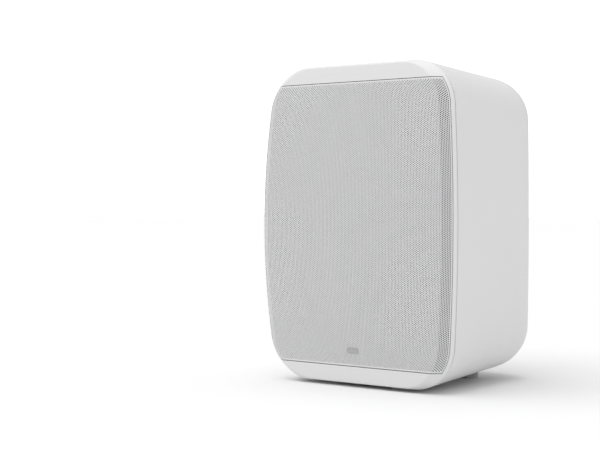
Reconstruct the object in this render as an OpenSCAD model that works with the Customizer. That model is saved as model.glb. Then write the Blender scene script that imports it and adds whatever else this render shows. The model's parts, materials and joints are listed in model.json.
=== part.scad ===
// Active bookshelf speaker: a moulded cabinet with a crowned front, a wrap-round steel grille,
// a woofer and a tweeter, and two recessed connection panels at the back.
// X runs to the right of someone facing the grille, the grille faces -Y, and Z points up.
// Sizes are in millimetres. Depths are measured backwards from the foremost point of the front.

/* [Cabinet] */
// Width across the bowed sides
body_w = 180; // [170:1:230]
// Height without the feet
body_h = 240; // [236:1:300]
// Depth from the crown of the front to the back
body_d = 155; // [150:1:200]
// Thickness of the cabinet wall
wall = 4; // [3:0.5:5]
// Radius of the corners seen from the front
corner_r = 32; // [26:1:40]
// How far each side bows out at mid height
side_bow = 8.5; // [4:0.5:10]
// How far the front bulges at mid height
front_crown = 6; // [4:0.5:8]
// Slope of the top and the bottom towards the back, in degrees
roof_slope = 3.5; // [1:0.5:4.5]
// Slope of the sides towards the back, in degrees
side_slope = 2; // [0:0.5:3]
// Depth of the rounding at the back
rear_r = 40; // [34:1:46]
// Drop of the rounding at the back, above and below
rear_drop = 20; // [14:1:24]
// Depth of the shallow hollow across the back
back_dish = 3; // [1:0.5:4]
// Gap under the front edge
foot_gap = 2; // [1:0.5:6]
// Radius of the rubber feet
foot_r = 8; // [6:0.5:10]

/* [Baffle and grille] */
// Width of the bevel beside the front
bevel_w = 9; // [7:0.5:12]
// Depth of the bevel beside the front
bevel_d = 7; // [5:0.5:9]
// Height of the grille
grille_h = 212; // [208:1:216]
// Thickness of the grille sheet
grille_t = 1; // [0.8:0.1:1.5]
// Width of the plain rim outside the grille
rim_w = 2.4; // [2:0.1:3]
// Thickness of the board that carries the drivers
board_t = 6; // [5:0.5:8]
// Gap of the parting seam
seam_gap = 0.8; // [0.6:0.1:1.2]

/* [Drivers] */
// Outer radius of the woofer's flange
woofer_r = 68; // [60:0.5:68]
// Radius of the woofer's magnet
woofer_magnet_r = 40; // [37:1:44]
// Furthest the cone moves each way
cone_travel = 4; // [2:0.5:5]
// Outer radius of the tweeter's face plate
tweeter_r = 27; // [24:0.5:27]
// Radius of the tweeter's dome
dome_r = 13; // [11:0.5:14]

/* [Connection panels] */
// Width of both recesses
recess_w = 88; // [84:1:100]
// Height of both recesses
recess_h = 36; // [34:1:44]
// Height of each recess centre above or below mid height
recess_z = 63; // [61:1:70]
// Depth of the panels behind the back
recess_depth = 16; // [14:0.5:20]
// Diameter of the volume knob
knob_d = 15.6; // [12:0.2:18]
// Length of the volume knob
knob_l = 14; // [10:0.5:16]
// Diameter of the antenna
antenna_d = 11.8; // [9:0.2:13]
// Length of the antenna from the panel
antenna_l = 38; // [30:1:50]
// Diameter of the fuse cap
fuse_cap_d = 14; // [12:0.5:16]

/* [Rear mount] */
// Diameter of the mounting disc
disc_d = 58; // [54:1:64]
// Pitch circle of the three bracket holes
bracket_pcd = 38; // [34:1:42]
// Thread bore of the bracket inserts
bracket_bore = 5; // [4:0.1:6]
// Thread bore of the stand insert in the centre
stand_bore = 8; // [6:0.1:8.5]
// Thread bore of the small insert below the centre
tripod_bore = 5.1; // [4:0.1:5.5]
// Drop of the small insert below the centre
tripod_drop = 18.3; // [17.5:0.1:18.3]

/* [Hidden] */
$fn = 64;

// Finish colours
WHITE = [0.93, 0.93, 0.93];
GRILLE = [0.75, 0.75, 0.76];
BLACK = [0.08, 0.08, 0.08];
GASKET = [0.6, 0.6, 0.6];
STEEL = [0.7, 0.7, 0.72];
GOLD = [0.83, 0.66, 0.3];
RED = [0.75, 0.12, 0.14];
BOARD = [0.08, 0.3, 0.16];

// Small gaps that every fit shares
eps = 0.01;
gap = 0.3;        // between faces that must never touch
run = 0.05;       // radial clearance of a running fit
over = 1;         // how far a cut runs past the face it opens

// Cabinet outline
arc_step = 15;    // degrees between the points of a corner
side_steps = 6;   // pieces of each bowed side
corner_ease = 0.35; // share of the rear rounding that the corner radius gives up
crown_r = (body_h * body_h / 4 + front_crown * front_crown) / (2 * front_crown);
dish_reach = 80;  // half height of the hollow across the back
dish_r = (dish_reach * dish_reach + back_dish * back_dish) / (2 * back_dish);

// The fold line round the front face lies inside the outline by these amounts
fold_top = 1.4;
fold_corner_r = corner_r - 3;

// Depths from the front
seam_y = bevel_d + 1;
board_y = 16;
board_back = board_y + board_t;
grille_floor = grille_t + 0.8;
back_y = body_d - back_dish;
panel_y = body_d - recess_depth;
panel_t = 2;
ledge_t = 2.5;
tub_wall = 2.5;
total_d = panel_y + antenna_l;

// Drivers, stacked in the well from the bottom up
ledge_h = 7;
well_h = grille_h - 2 * ledge_h;
well_w = body_w - 2 * (bevel_w + 5);
well_corner = 20;
driver_gap = 2;
woofer_z = -well_h / 2 + driver_gap + woofer_r;
tweeter_z = woofer_z + woofer_r + driver_gap + tweeter_r;
flange_t = 3;
opening_r = woofer_r - 7;
tweeter_opening_r = tweeter_r - 6;

// Screw and insert sizes
screw_r = 1.5;
head_r = 3;
head_t = 2;
small_screw_r = 1.2;
small_head_r = 2.4;
small_head_t = 1.6;
screw_play = 0.2;     // radial play of a screw in its clearance hole
thread_play = 0.1;
cross_d = 0.8;        // cross recess in a screw's head
cross_w = 0.7;

function bowed(p, hw, hh, bow) = [p.x + bow * (1 - pow(p.y / hh, 2)) * p.x / hw, p.y];

// Right half of the rounded, bowed outline, from the bottom up
function half_outline(hw, hh, rc, bow) = [
    for (a = [-90:arc_step:0])
        bowed([hw - rc + rc * cos(a), rc - hh + rc * sin(a)], hw, hh, bow),
    for (k = [1:side_steps - 1])
        bowed([hw, (hh - rc) * (2 * k / side_steps - 1)], hw, hh, bow),
    for (a = [0:arc_step:90])
        bowed([hw - rc + rc * cos(a), hh - rc + rc * sin(a)], hw, hh, bow)];

// Whole outline: the right half, then its mirror image back down
function outline(half) = concat(half, [for (k = [len(half) - 1:-1:0]) [-half[k].x, half[k].y]]);

// How far the cabinet has turned in at depth y, for a surface set in by g
function turn_in(y, g) =
    let (r = rear_r - g, past = max(0, y - (body_d - rear_r)))
    r - sqrt(max(0, r * r - past * past));

// Half outline of the cabinet at depth y, for a surface set in by g
function body_half(y, g) =
    let (t = turn_in(y, g))
    half_outline(
        body_w / 2 - side_bow - tan(side_slope) * max(0, y - seam_y) - g - t,
        body_h / 2 - tan(roof_slope) * max(0, y - seam_y) - g - t * (rear_drop - g) / (rear_r - g),
        corner_r - g - corner_ease * t,
        side_bow * (1 - max(0, y - seam_y) / (body_d - seam_y)));

// Extrudes an outline of x and z along y, from y0 to y1
module along_y(y0, y1) {
    translate([0, y1, 0]) rotate([90, 0, 0]) linear_extrude(y1 - y0) children();
}

// Turns a profile of [radius, depth] round the Y axis
module turned() {
    rotate([-90, 0, 0]) rotate_extrude() children();
}

// Cylinder along y, from y0 to y1
module rod(r, y0, y1) {
    translate([0, y0, 0]) rotate([-90, 0, 0]) cylinder(r = r, h = y1 - y0);
}

// Ring along y, from y0 to y1
module ring(r_out, r_in, y0, y1) {
    difference() {
        rod(r_out, y0, y1);
        rod(r_in, y0 - over, y1 + over);
    }
}

// Rectangle with rounded corners, centred
module rounded(w, h, r) {
    for (x = [-1, 1]) translate([x * (w / 2 - r), 0]) union() {
        for (z = [-1, 1]) translate([0, z * (h / 2 - r)]) circle(r);
        square([2 * r, h - 2 * r], center = true);
    }
    square([w - 2 * r, h], center = true);
}

// Everything behind the crowned surface that passes depth y0 at mid height
module behind_crown(y0, facets = 1440) {
    translate([0, y0 + crown_r, 0]) rotate([0, 90, 0])
        cylinder(r = crown_r, h = 2 * body_w, center = true, $fn = facets);
}

// Solid cabinet body, set in by g
module body_solid(g) {
    y_end = body_d - g;
    r = rear_r - g;
    depths = concat([0, seam_y], [for (a = [0:15:90]) y_end - r + r * sin(a)]);
    for (k = [0:len(depths) - 2]) hull() {
        for (y = [depths[k], depths[k + 1]])
            along_y(y - eps, y) polygon(outline(body_half(y, g)));
    }
}

// Convex front of the baffle: the crowned face inside the fold line, and the bevel round it
module front_solid(back) {
    fold = half_outline(body_w / 2 - side_bow - bevel_w, body_h / 2 - fold_top, fold_corner_r, side_bow);
    edge = half_outline(body_w / 2 - side_bow, body_h / 2, corner_r, side_bow);
    rings = [[fold, 0], [edge, bevel_d], [edge, back]];
    half_n = len(fold);
    ring_n = 2 * half_n;
    points = [for (r = rings) for (p = outline(r[0])) [p.x, r[1] + crown_at(p.y), p.y]];
    sides = [for (r = [0:len(rings) - 2]) for (k = [0:ring_n - 1])
        let (a = r * ring_n + k, b = r * ring_n + (k + 1) % ring_n)
        each [[a, b, b + ring_n], [a, b + ring_n, a + ring_n]]];
    caps = [for (k = [0:half_n - 2])
        each let (m = ring_n - 1 - k, last = (len(rings) - 1) * ring_n)
        [[k, m, m - 1], [k, m - 1, k + 1],
         [last + k, last + m - 1, last + m], [last + k, last + k + 1, last + m - 1]]];
    polyhedron(points, concat(sides, caps));
}

// Depth that the crown adds at height z
function crown_at(z) = crown_r - sqrt(crown_r * crown_r - z * z);

// Outline of the grille, smaller by g all round
module grille_outline(g) {
    edge = half_outline(body_w / 2 - side_bow - rim_w - g, body_h / 2, corner_r, side_bow);
    intersection() {
        polygon(outline(edge));
        square([2 * body_w, grille_h - 2 * g], center = true);
    }
}

module at_recess(side) {
    translate([0, 0, side * recess_z]) children();
}

// ---- cabinet -------------------------------------------------------------------------------

baffle_screw_x = well_w / 2 - 9;
baffle_screw_z = well_h / 2 - 9;
baffle_screw_l = 18;
boss_r = 5;

module at_baffle_screws() {
    for (x = [-1, 1]) for (z = [-1, 1])
        translate([x * baffle_screw_x, 0, z * baffle_screw_z]) children();
}

disc_depth = 14;
disc_gap = 0.4;
well_wall = 3;
stand_r = 5.2;
tripod_r = 3.35;
bracket_r = 4.15;
insert_recess = 2;

// Recess tubs behind the panels
recess_corner = 4.5;
tub_corner = 6;
ledge_w = 4;
ledge_rise = 3;

// Where the boards are held
board_post_x = 50;
board_post_z = [8, 88];
board_post_r = 4;
board_plane = 94;
pilot_r = 1.3;
pilot_l = 12;

module at_board_posts() {
    for (x = [-1, 1]) for (z = [-1, 1]) for (h = board_post_z)
        translate([x * board_post_x, 0, z * h]) children();
}

module cabinet_shell() color(WHITE) difference() {
    $fn = 32;
    intersection() {
        body_solid(0);
        behind_crown(seam_y + seam_gap);
    }
    // the cavity, less what stands in it
    difference() {
        body_solid(wall);
        for (side = [-1, 1]) at_recess(side)
            along_y(panel_y - panel_t - ledge_t, body_d)
                rounded(recess_w + 2 * tub_wall, recess_h + 2 * tub_wall, tub_corner);
        rod(disc_d / 2 + well_wall, back_y - disc_depth - well_wall, body_d);
        at_baffle_screws() rod(boss_r, board_back + gap, body_d);
        at_board_posts() rod(board_post_r, board_plane + 2, body_d);
    }
    // the shallow hollow across the back
    translate([0, back_y + dish_r, 0]) rotate([0, 90, 0])
        cylinder(r = dish_r, h = 2 * body_w, center = true, $fn = 720);
    for (side = [-1, 1]) at_recess(side) {
        along_y(panel_y - panel_t, body_d + over) rounded(recess_w, recess_h, recess_corner);
        along_y(panel_y - panel_t - 2 * ledge_t - wall, body_d)
            rounded(recess_w - 2 * ledge_w, recess_h - 2 * ledge_rise, recess_corner / 2);
    }
    rod(disc_d / 2 + disc_gap, back_y - disc_depth, body_d);
    at_baffle_screws()
        rod(screw_r + thread_play, board_back - over, board_back + baffle_screw_l + 2 * head_t);
    at_board_posts() rod(pilot_r, board_plane, board_plane + pilot_l);
}

// ---- baffle --------------------------------------------------------------------------------

spigot_inset = wall + gap;
rim_d = 8;             // depth of the rim behind the bevel

module front_baffle() color(WHITE) difference() {
    union() {
        difference() {
            front_solid(bevel_d + rim_d);
            behind_crown(seam_y);
        }
        intersection() {
            along_y(0, board_back) polygon(outline(body_half(board_back, spigot_inset)));
            behind_crown(seam_y - 2);
        }
    }
    // pocket of the grille
    difference() {
        along_y(-well_corner, well_corner) grille_outline(-gap);
        translate([0, grille_floor, 0]) front_solid(3 * well_corner);
    }
    // well for the drivers
    along_y(-over, board_y) rounded(well_w, well_h, well_corner);
    translate([0, 0, woofer_z]) {
        rod(opening_r, 0, board_back + over);
        at_woofer_screws() rod(screw_r, 0, board_back + over);
    }
    translate([0, 0, tweeter_z]) {
        rod(tweeter_opening_r, 0, board_back + over);
        at_tweeter_screws() rod(small_screw_r, 0, board_back + over);
    }
    at_baffle_screws() rod(screw_r + screw_play, 0, board_back + over);
    at_grille_magnets() rod(grille_magnet_r, -over, grille_magnet_y + grille_magnet_t);
}

gasket_inset = 1.2;
front_reach = 40;      // past everything that the crown adds in front of the seam

module baffle_gasket() color(GASKET) difference() {
    intersection() {
        along_y(0, front_reach) polygon(outline(body_half(seam_y, gasket_inset)));
        behind_crown(seam_y + run);
    }
    behind_crown(seam_y + seam_gap - run);
    along_y(-over, front_reach + over) polygon(outline(body_half(seam_y, wall - gap)));
}

module baffle_screws() color(STEEL) at_baffle_screws() {
    rod(screw_r, board_y, board_back + baffle_screw_l);
    pan_head(head_r, head_t, board_y - head_t);
}

// Screw head with a cross recess, its back face at depth y + t
module pan_head(r, t, y) {
    difference() {
        rod(r, y, y + t);
        for (turn = [0, 90]) rotate([0, turn, 0])
            translate([0, y + cross_d / 2, 0]) cube([1.1 * r, cross_d + eps, cross_w], center = true);
    }
}

// ---- grille --------------------------------------------------------------------------------

grille_magnet_r = 2.5;
grille_magnet_t = 3;
grille_magnet_x = 48;
grille_magnet_z = grille_h / 2 - ledge_h / 2;
grille_magnet_y = grille_floor + crown_at(grille_magnet_z + grille_magnet_r);

module at_grille_magnets() {
    for (x = [-1:1]) for (z = [-1, 1])
        translate([x * grille_magnet_x, 0, z * grille_magnet_z]) children();
}

module grille() color(GRILLE) intersection() {
    difference() {
        front_solid(bevel_d + rim_d);
        translate([0, grille_t, 0]) front_solid(bevel_d + rim_d);
    }
    along_y(-over, bevel_d + front_crown) grille_outline(gap / 2);
}

badge_w = 10.5;
badge_h = 4.4;
badge_proud = 0.6;
badge_z = 12 - grille_h / 2;

// Plain oval badge on the lower middle of the grille
module grille_badge() color(STEEL) translate([0, 0, badge_z])
    along_y(crown_at(badge_z) - badge_proud, crown_at(badge_z + badge_h) - eps)
        rounded(badge_w, badge_h, badge_h / 2 - eps);

module grille_magnets() color(STEEL) at_grille_magnets()
    rod(grille_magnet_r, grille_magnet_y, grille_magnet_y + grille_magnet_t);

// ---- woofer --------------------------------------------------------------------------------

frame_back = board_y + 38;      // rear face of the frame, where the top plate sits
plate_t = 5;
magnet_t = 14;
plate_r = woofer_magnet_r - 4;
cone_r = woofer_r - 22;
roll_w = 9;
roll_y = board_y - flange_t;
neck_r = 13.2;
neck_y = board_y + 22;
cap_r = 17;
coil_wall = 0.6;
coil_r = neck_r + 0.8;
pole_r = neck_r - coil_wall - 0.7;
spider_y = board_y + 27.6;
spider_r = plate_r;
skin_t = 0.8;
woofer_screw_count = 6;
woofer_screw_inset = 3.8;
spoke_count = 6;
window = [24, 18, 26];
window_y = board_y + 16;
roll_gap = 0.4;        // depth between the roll's edge and the cone
cap_rise = 6;
cap_steps = 8;
cap_seat = 0.2;
winding_l = 3;         // winding in front of the top plate
lip_w = 4;
spider_waves = 4;
spider_wave_h = 0.9;
plate_gap = 0.5;
magnet_bore_r = coil_r + 5;

module at_woofer() {
    translate([0, 0, woofer_z]) children();
}

module at_woofer_screws() {
    for (k = [0:woofer_screw_count - 1])
        rotate([0, 360 / woofer_screw_count * k, 0]) translate([woofer_r - woofer_screw_inset, 0, 0])
            children();
}

module woofer_basket() color("dimgray") at_woofer() difference() {
    turned() polygon([
        [woofer_r, board_y - flange_t], [woofer_r, board_y],
        [opening_r - 0.5, board_y], [plate_r + 4, frame_back - 2], [plate_r + 2, frame_back],
        [coil_r + 1, frame_back], [coil_r + 1, frame_back - 2], [plate_r - 1, frame_back - 2],
        [plate_r - 1, spider_y + 4], [spider_r - 2, spider_y + 3], [spider_r - 2, spider_y + 1],
        [spider_r + 3, spider_y + 1], [opening_r - 4, board_y + 1], [cone_r + roll_w, board_y - 1],
        [cone_r + roll_w, board_y - flange_t]]);
    // windows between the spokes
    for (k = [0:spoke_count - 1]) rotate([0, 360 / spoke_count * k, 0])
        translate([plate_r + window.x / 2, window_y, 0]) cube(window, center = true);
    at_woofer_screws() rod(screw_r + screw_play, 0, board_back);
}

module woofer_cone() color([0.16, 0.16, 0.17]) at_woofer() turned() polygon([
    [cone_r, roll_y + roll_gap], [cone_r, roll_y + roll_gap + skin_t],
    [neck_r + skin_t, neck_y + skin_t], [neck_r, neck_y + skin_t], [neck_r, neck_y],
    [cone_r - 1, roll_y + roll_gap]]);

// Depth of the front of the cone at radius r
function cone_y(r) =
    let (lip_y = roll_y + roll_gap)
    lip_y + (neck_y - lip_y) * (cone_r - 1 - r) / (cone_r - 1 - neck_r);

// Half section of a dome: its outer arc, then its inner arc back to the middle
function dome_profile(ball, edge, top_y, t, steps) = concat(
    [for (k = [0:steps]) let (a = edge * k / steps) [ball * sin(a), top_y + ball * (1 - cos(a))]],
    [for (k = [steps:-1:0]) let (a = edge * k / steps)
        [(ball - t) * sin(a), top_y + t + (ball - t) * (1 - cos(a))]]);

module woofer_dust_cap() color([0.12, 0.12, 0.13]) at_woofer() turned() {
    cap_ball = (cap_r * cap_r + cap_rise * cap_rise) / (2 * cap_rise);
    edge = asin(cap_r / cap_ball);
    top_y = cone_y(cap_r) - skin_t - cap_seat - cap_rise;
    polygon(dome_profile(cap_ball, edge, top_y, skin_t, cap_steps));
}

module woofer_voice_coil() color([0.6, 0.32, 0.15]) at_woofer() {
    coil_end = frame_back + 2 * cone_travel;
    ring(neck_r, neck_r - coil_wall, neck_y + skin_t, coil_end);
    ring(coil_r, neck_r, frame_back - winding_l, coil_end);
}

// Half-round roll between the cone and the frame, with a flat lip outside
module woofer_surround() color([0.1, 0.1, 0.1]) at_woofer() turned() {
    mid = cone_r + gap + roll_w / 2;
    r_out = roll_w / 2;
    translate([mid, roll_y]) difference() {
        circle(r_out);
        circle(r_out - skin_t);
        translate([-r_out - over, 0]) square([2 * (r_out + over), r_out + over]);
    }
    translate([mid + r_out - skin_t, roll_y - skin_t]) square([lip_w, skin_t]);
}

module woofer_spider() color([0.75, 0.6, 0.25]) at_woofer() turned() {
    r_in = neck_r + 2 * run;
    r_out = spider_r + 2;
    steps = 8 * spider_waves;
    wave = [for (k = [0:steps])
        [r_in + (r_out - r_in) * k / steps,
         spider_y - spider_wave_h * abs(sin(180 * spider_waves * k / steps))]];
    polygon(concat(wave, [for (k = [steps:-1:0]) wave[k] + [0, skin_t]]));
}

module woofer_top_plate() color(STEEL) at_woofer()
    ring(plate_r, coil_r + plate_gap, frame_back, frame_back + plate_t);

module woofer_magnet() color([0.2, 0.2, 0.22]) at_woofer()
    ring(woofer_magnet_r, magnet_bore_r, frame_back + plate_t, frame_back + plate_t + magnet_t);

module woofer_pole_piece() color(STEEL) at_woofer() {
    back = frame_back + plate_t + magnet_t;
    rod(pole_r, frame_back - 1, back);
    rod(plate_r, back, back + plate_t);
}

module woofer_screws() color(STEEL) at_woofer() at_woofer_screws() {
    rod(screw_r, board_y - flange_t, board_back + 3);
    pan_head(head_r, head_t, board_y - flange_t - head_t);
}

// ---- tweeter -------------------------------------------------------------------------------

plate_y = board_y - 2.5;
dome_ball = dome_r + 2;
dome_t = 0.4;
dome_steps = 10;
tweeter_screw_inset = 3.4;
tweeter_coil_w = 0.5;
tweeter_coil_l = 6;
tweeter_magnet_r = tweeter_r - 7;
tweeter_magnet_l = 18;
tweeter_slot_l = 8;
tweeter_vent_r = 3;
tweeter_vent_l = 12;
tweeter_roll = 2.4;

module at_tweeter() {
    translate([0, 0, tweeter_z]) children();
}

module at_tweeter_screws() {
    for (k = [0:3]) rotate([0, 45 + 90 * k, 0]) translate([tweeter_r - tweeter_screw_inset, 0, 0])
        children();
}

throat_r = dome_r + tweeter_roll + 0.4;

module tweeter_faceplate() color([0.15, 0.15, 0.15]) at_tweeter() difference() {
    turned() polygon([
        [tweeter_r, plate_y + 0.5], [tweeter_r, board_y], [tweeter_opening_r - gap, board_y],
        [tweeter_opening_r - gap, board_y + 2], [throat_r, board_y + 2],
        [throat_r, plate_y + 1.2], [throat_r + 2.6, plate_y], [tweeter_r - 0.5, plate_y]]);
    at_tweeter_screws() rod(small_screw_r + screw_play, 0, board_back);
}

module tweeter_dome() color([0.2, 0.2, 0.22]) at_tweeter() turned() {
    edge = asin(dome_r / dome_ball);
    top_y = board_y - dome_ball * (1 - cos(edge));
    polygon(dome_profile(dome_ball, edge, top_y, dome_t, dome_steps));
}

module tweeter_voice_coil() color([0.6, 0.32, 0.15]) at_tweeter()
    ring(dome_r - tweeter_coil_w, dome_r - 2 * tweeter_coil_w, board_y + 0.2, board_y + tweeter_coil_l);

module tweeter_surround() color([0.1, 0.1, 0.1]) at_tweeter() turned()
    translate([dome_r + 2 * run + tweeter_roll / 2, board_y + 0.6]) difference() {
        circle(tweeter_roll / 2);
        circle(tweeter_roll / 2 - dome_t);
        translate([-tweeter_roll, 0]) square([2 * tweeter_roll, tweeter_roll]);
    }

module tweeter_magnet() color([0.2, 0.2, 0.22]) at_tweeter() difference() {
    front = board_y + 2;
    rod(tweeter_magnet_r, front, front + tweeter_magnet_l);
    ring(dome_r, dome_r - 3 * tweeter_coil_w, front - over, front + tweeter_slot_l);
    rod(tweeter_vent_r, front - over, front + tweeter_vent_l);
}

module tweeter_screws() color(STEEL) at_tweeter() at_tweeter_screws() {
    rod(small_screw_r, plate_y, board_back + 2);
    pan_head(small_head_r, small_head_t, plate_y - small_head_t);
}

// ---- upper connection panel ------------------------------------------------------------------

knob_at = [0, 3.7];
jack_at = [34.1, 2.6];
antenna_at = [33.5, -9];
led_at = [-11.3, 4.8];
upper_block_at = [22, 3.9];
upper_block = [13, 10];
lower_block_at = [2, 7];
lower_block = [13, 8.4];
lever_pitch = 4.7;
lever = [1.9, 2.2];
lever_slot = [2.3, 5.6];
lever_travel = 3.2;
block_proud = 1.5;
board_sheet = 1.6;
control_y = panel_y - 14;
knob_y = panel_y + 1;
shaft_end = panel_y + knob_l - 3;
nut_t = 2;
shaft_r = 3;
jack_bore = 1.8;
barrel_r = 3.1;
bushing_wall = 0.6;
bushing_proud = 0.5;
panel_cut = 5;         // how far the panel's holes are cut in from its face
pot_w = 12;
nut_r = 5;
led_r = 1.5;
led_l = 8;
jack_wall = 0.8;
jack_l = 12;
jack_body = 8;
slot_d = 1;
lever_proud = 0.9;

module at_upper(p) {
    at_recess(1) translate([p.x, 0, p.y]) children();
}

module at_lower(p) {
    at_recess(-1) translate([p.x, 0, p.y]) children();
}

module panel_plate() {
    along_y(panel_y - panel_t, panel_y)
        rounded(recess_w - gap, recess_h - gap, recess_corner - gap / 2);
}

module box_along(w, h, y0, y1) {
    translate([-w / 2, y0, -h / 2]) cube([w, y1 - y0, h]);
}

module control_panel() color(BLACK) difference() {
    at_recess(1) panel_plate();
    at_upper(knob_at) rod(shaft_r + bushing_wall + 2 * run, panel_y - panel_cut, panel_y + over);
    at_upper(jack_at) rod(jack_bore + jack_wall + 2 * run, panel_y - panel_cut, panel_y + over);
    at_upper(antenna_at) rod(barrel_r + 2 * run, panel_y - panel_cut, panel_y + over);
    at_upper(led_at) rod(led_r + 2 * run, panel_y - panel_cut, panel_y + over);
    at_upper(upper_block_at)
        box_along(upper_block.x + 4 * run, upper_block.y + 4 * run, panel_y - panel_cut, panel_y + over);
}

module potentiometer() color(STEEL) at_upper(knob_at) difference() {
    union() {
        box_along(pot_w, pot_w, control_y + board_sheet, panel_y - panel_t);
        rod(shaft_r + bushing_wall, panel_y - panel_t - over, panel_y + nut_t + bushing_proud);
        rotate([0, 30, 0]) translate([0, panel_y, 0]) rotate([-90, 0, 0])
            cylinder(r = nut_r, h = nut_t, $fn = 6);
    }
    rod(shaft_r + run, control_y + board_sheet + 2, panel_y + knob_l);
}

module potentiometer_shaft() color(STEEL) at_upper(knob_at)
    rod(shaft_r, control_y + board_sheet + 3, shaft_end);

knob_bevel = 1.2;
skirt_r = 6;           // hollow of the knob over the nut
pointer = [1, 2];
pointer_d = 0.6;
flute_count = 20;
flute_r = 0.9;
flute_out = 0.4;       // axis of a flute outside the knob's radius

module volume_knob() color(BLACK) at_upper(knob_at) difference() {
    turned() polygon([
        [0, knob_y], [knob_d / 2, knob_y], [knob_d / 2, knob_y + knob_l - knob_bevel],
        [knob_d / 2 - knob_bevel, knob_y + knob_l], [0, knob_y + knob_l]]);
    rod(skirt_r, knob_y - over, panel_y + nut_t + 1);
    rod(shaft_r, knob_y, shaft_end);
    // pointer groove
    translate([-pointer.x / 2, knob_y + knob_l - pointer_d, pointer.y])
        cube([pointer.x, 2, knob_d / 2 - knob_bevel - pointer.y - flute_out]);
    // grip flutes
    for (k = [0:flute_count - 1]) rotate([0, 360 / flute_count * (k + 0.5), 0])
        rod_at(knob_d / 2 + flute_out, flute_r, knob_y + knob_bevel, knob_y + knob_l - knob_bevel - 0.5);
}

module rod_at(x, r, y0, y1) {
    translate([x, 0, 0]) rod(r, y0, y1);
}

// Block with one slot for each lever
module switch_block(size) {
    difference() {
        box_along(size.x, size.y, control_y + board_sheet, panel_y + block_proud);
        for (x = [-1, 1]) translate([x * lever_pitch / 2, 0, 0])
            box_along(lever_slot.x, lever_slot.y, panel_y - slot_d, panel_y + block_proud + over);
    }
}

// Lever at the lower end of its slot
module switch_lever(side) {
    translate([side * lever_pitch / 2, 0, -lever_travel / 2])
        box_along(lever.x, lever.y, panel_y - slot_d + run, panel_y + block_proud + lever_proud);
}

module upper_switch_block() color(RED) at_upper(upper_block_at) switch_block(upper_block);
module upper_switch_lever_1() color("white") at_upper(upper_block_at) switch_lever(1);
module upper_switch_lever_2() color("white") at_upper(upper_block_at) switch_lever(-1);

module status_led() color("red") at_upper(led_at) {
    rod(led_r, panel_y - led_l, panel_y);
    translate([0, panel_y, 0]) sphere(led_r);
}

module aux_jack() color(BLACK) at_upper(jack_at) difference() {
    union() {
        box_along(jack_body, jack_body, control_y + board_sheet, panel_y - panel_t);
        rod(jack_bore + jack_wall, panel_y - panel_t - over, panel_y + 0.4);
    }
    rod(jack_bore, panel_y - jack_l, panel_y + over);
}

antenna_y = panel_y + nut_t + 0.5;
thread_l = 4;
barrel_nut_r = 4.6;
barrel_l = 7;          // behind the panel's face
contact_bore = 1.3;
contact_r = 0.5;
contact_disc_r = 2.5;
contact_disc_t = 3;
tip_round = 1.5;

module antenna_connector() color(GOLD) at_upper(antenna_at) difference() {
    union() {
        rod(barrel_r, panel_y - barrel_l, antenna_y + thread_l);
        translate([0, panel_y, 0]) rotate([-90, 0, 0]) cylinder(r = barrel_nut_r, h = nut_t, $fn = 6);
        rod(barrel_nut_r, panel_y - panel_t - nut_t, panel_y - panel_t);
    }
    rod(contact_bore, panel_y - panel_t, antenna_y + thread_l + over);
}

// Inner contact of the antenna: it travels out with the thread, and doesn't turn
module antenna_contact() color(GOLD) at_upper(antenna_at) {
    rod(contact_r, panel_y, antenna_y + thread_l + 1);
    rod(contact_disc_r, antenna_y + thread_l + run, antenna_y + thread_l + contact_disc_t);
}

module antenna() color(BLACK) at_upper(antenna_at) difference() {
    tip_y = panel_y + antenna_l;
    turned() polygon(concat(
        [[0, antenna_y], [antenna_d / 2, antenna_y]],
        [for (a = [0:arc_step:90])
            [antenna_d / 2 - tip_round * (1 - cos(a)), tip_y - tip_round * (1 - sin(a))]],
        [[0, tip_y]]));
    rod(barrel_r + run, antenna_y - over, antenna_y + thread_l + run);
    rod(contact_disc_r + run, antenna_y, antenna_y + thread_l + contact_disc_t + run);
}

// ---- lower connection panel ------------------------------------------------------------------

inlet_at = [2, -6.2];
fuse_at = [-20.5, 6.6];
power_screws_at = [[15.4, 8], [15.4, -6.2], [-11.4, -6.2]];
power_screw_l = 8;
socket_r = 4.15;
socket_half = 4.1;
pin_r = 1.2;
pin_half = 4.3;
socket_depth = 12;
holder_r = 6.4;
holder_y = panel_y - 34;
fuse_cap_proud = 6;
fuse_bore = 4.6;
fuse_r = 2.6;
fuse_l = 20;
cap_plug_l = 8;
cap_slot = [8, 1.4];
socket_wall = 1;
ear = [33, 10];        // flange of the inlet behind the panel
ear_x = 13.4;
neck_w = 0.6;          // step of the holder through the panel

module figure_eight(g) {
    for (x = [-1, 1]) translate([x * socket_half, 0]) circle(socket_r + g);
    square([2 * socket_half, 1.6 * socket_r + 2 * g], center = true);
}

module power_panel() color(BLACK) difference() {
    at_recess(-1) panel_plate();
    at_lower(inlet_at) along_y(panel_y - panel_cut, panel_y + over) figure_eight(socket_wall + 2 * run);
    at_lower(lower_block_at)
        box_along(lower_block.x + 4 * run, lower_block.y + 4 * run, panel_y - panel_cut, panel_y + over);
    at_lower(fuse_at) rod(holder_r - neck_w, panel_y - panel_cut, panel_y + over);
    for (p = power_screws_at) at_lower(p) rod(screw_r, panel_y - panel_cut, panel_y + over);
}

module power_panel_screws() color([0.12, 0.12, 0.12]) for (p = power_screws_at) at_lower(p) {
    rod(screw_r, panel_y - power_screw_l, panel_y);
    mirror([0, 1, 0]) pan_head(head_r, small_head_t, -panel_y - small_head_t);
}

module lower_switch_block() color(RED) at_lower(lower_block_at) switch_block(lower_block);
module lower_switch_lever_1() color([0.2, 0.05, 0.05]) at_lower(lower_block_at) switch_lever(1);
module lower_switch_lever_2() color([0.2, 0.05, 0.05]) at_lower(lower_block_at) switch_lever(-1);

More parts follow.
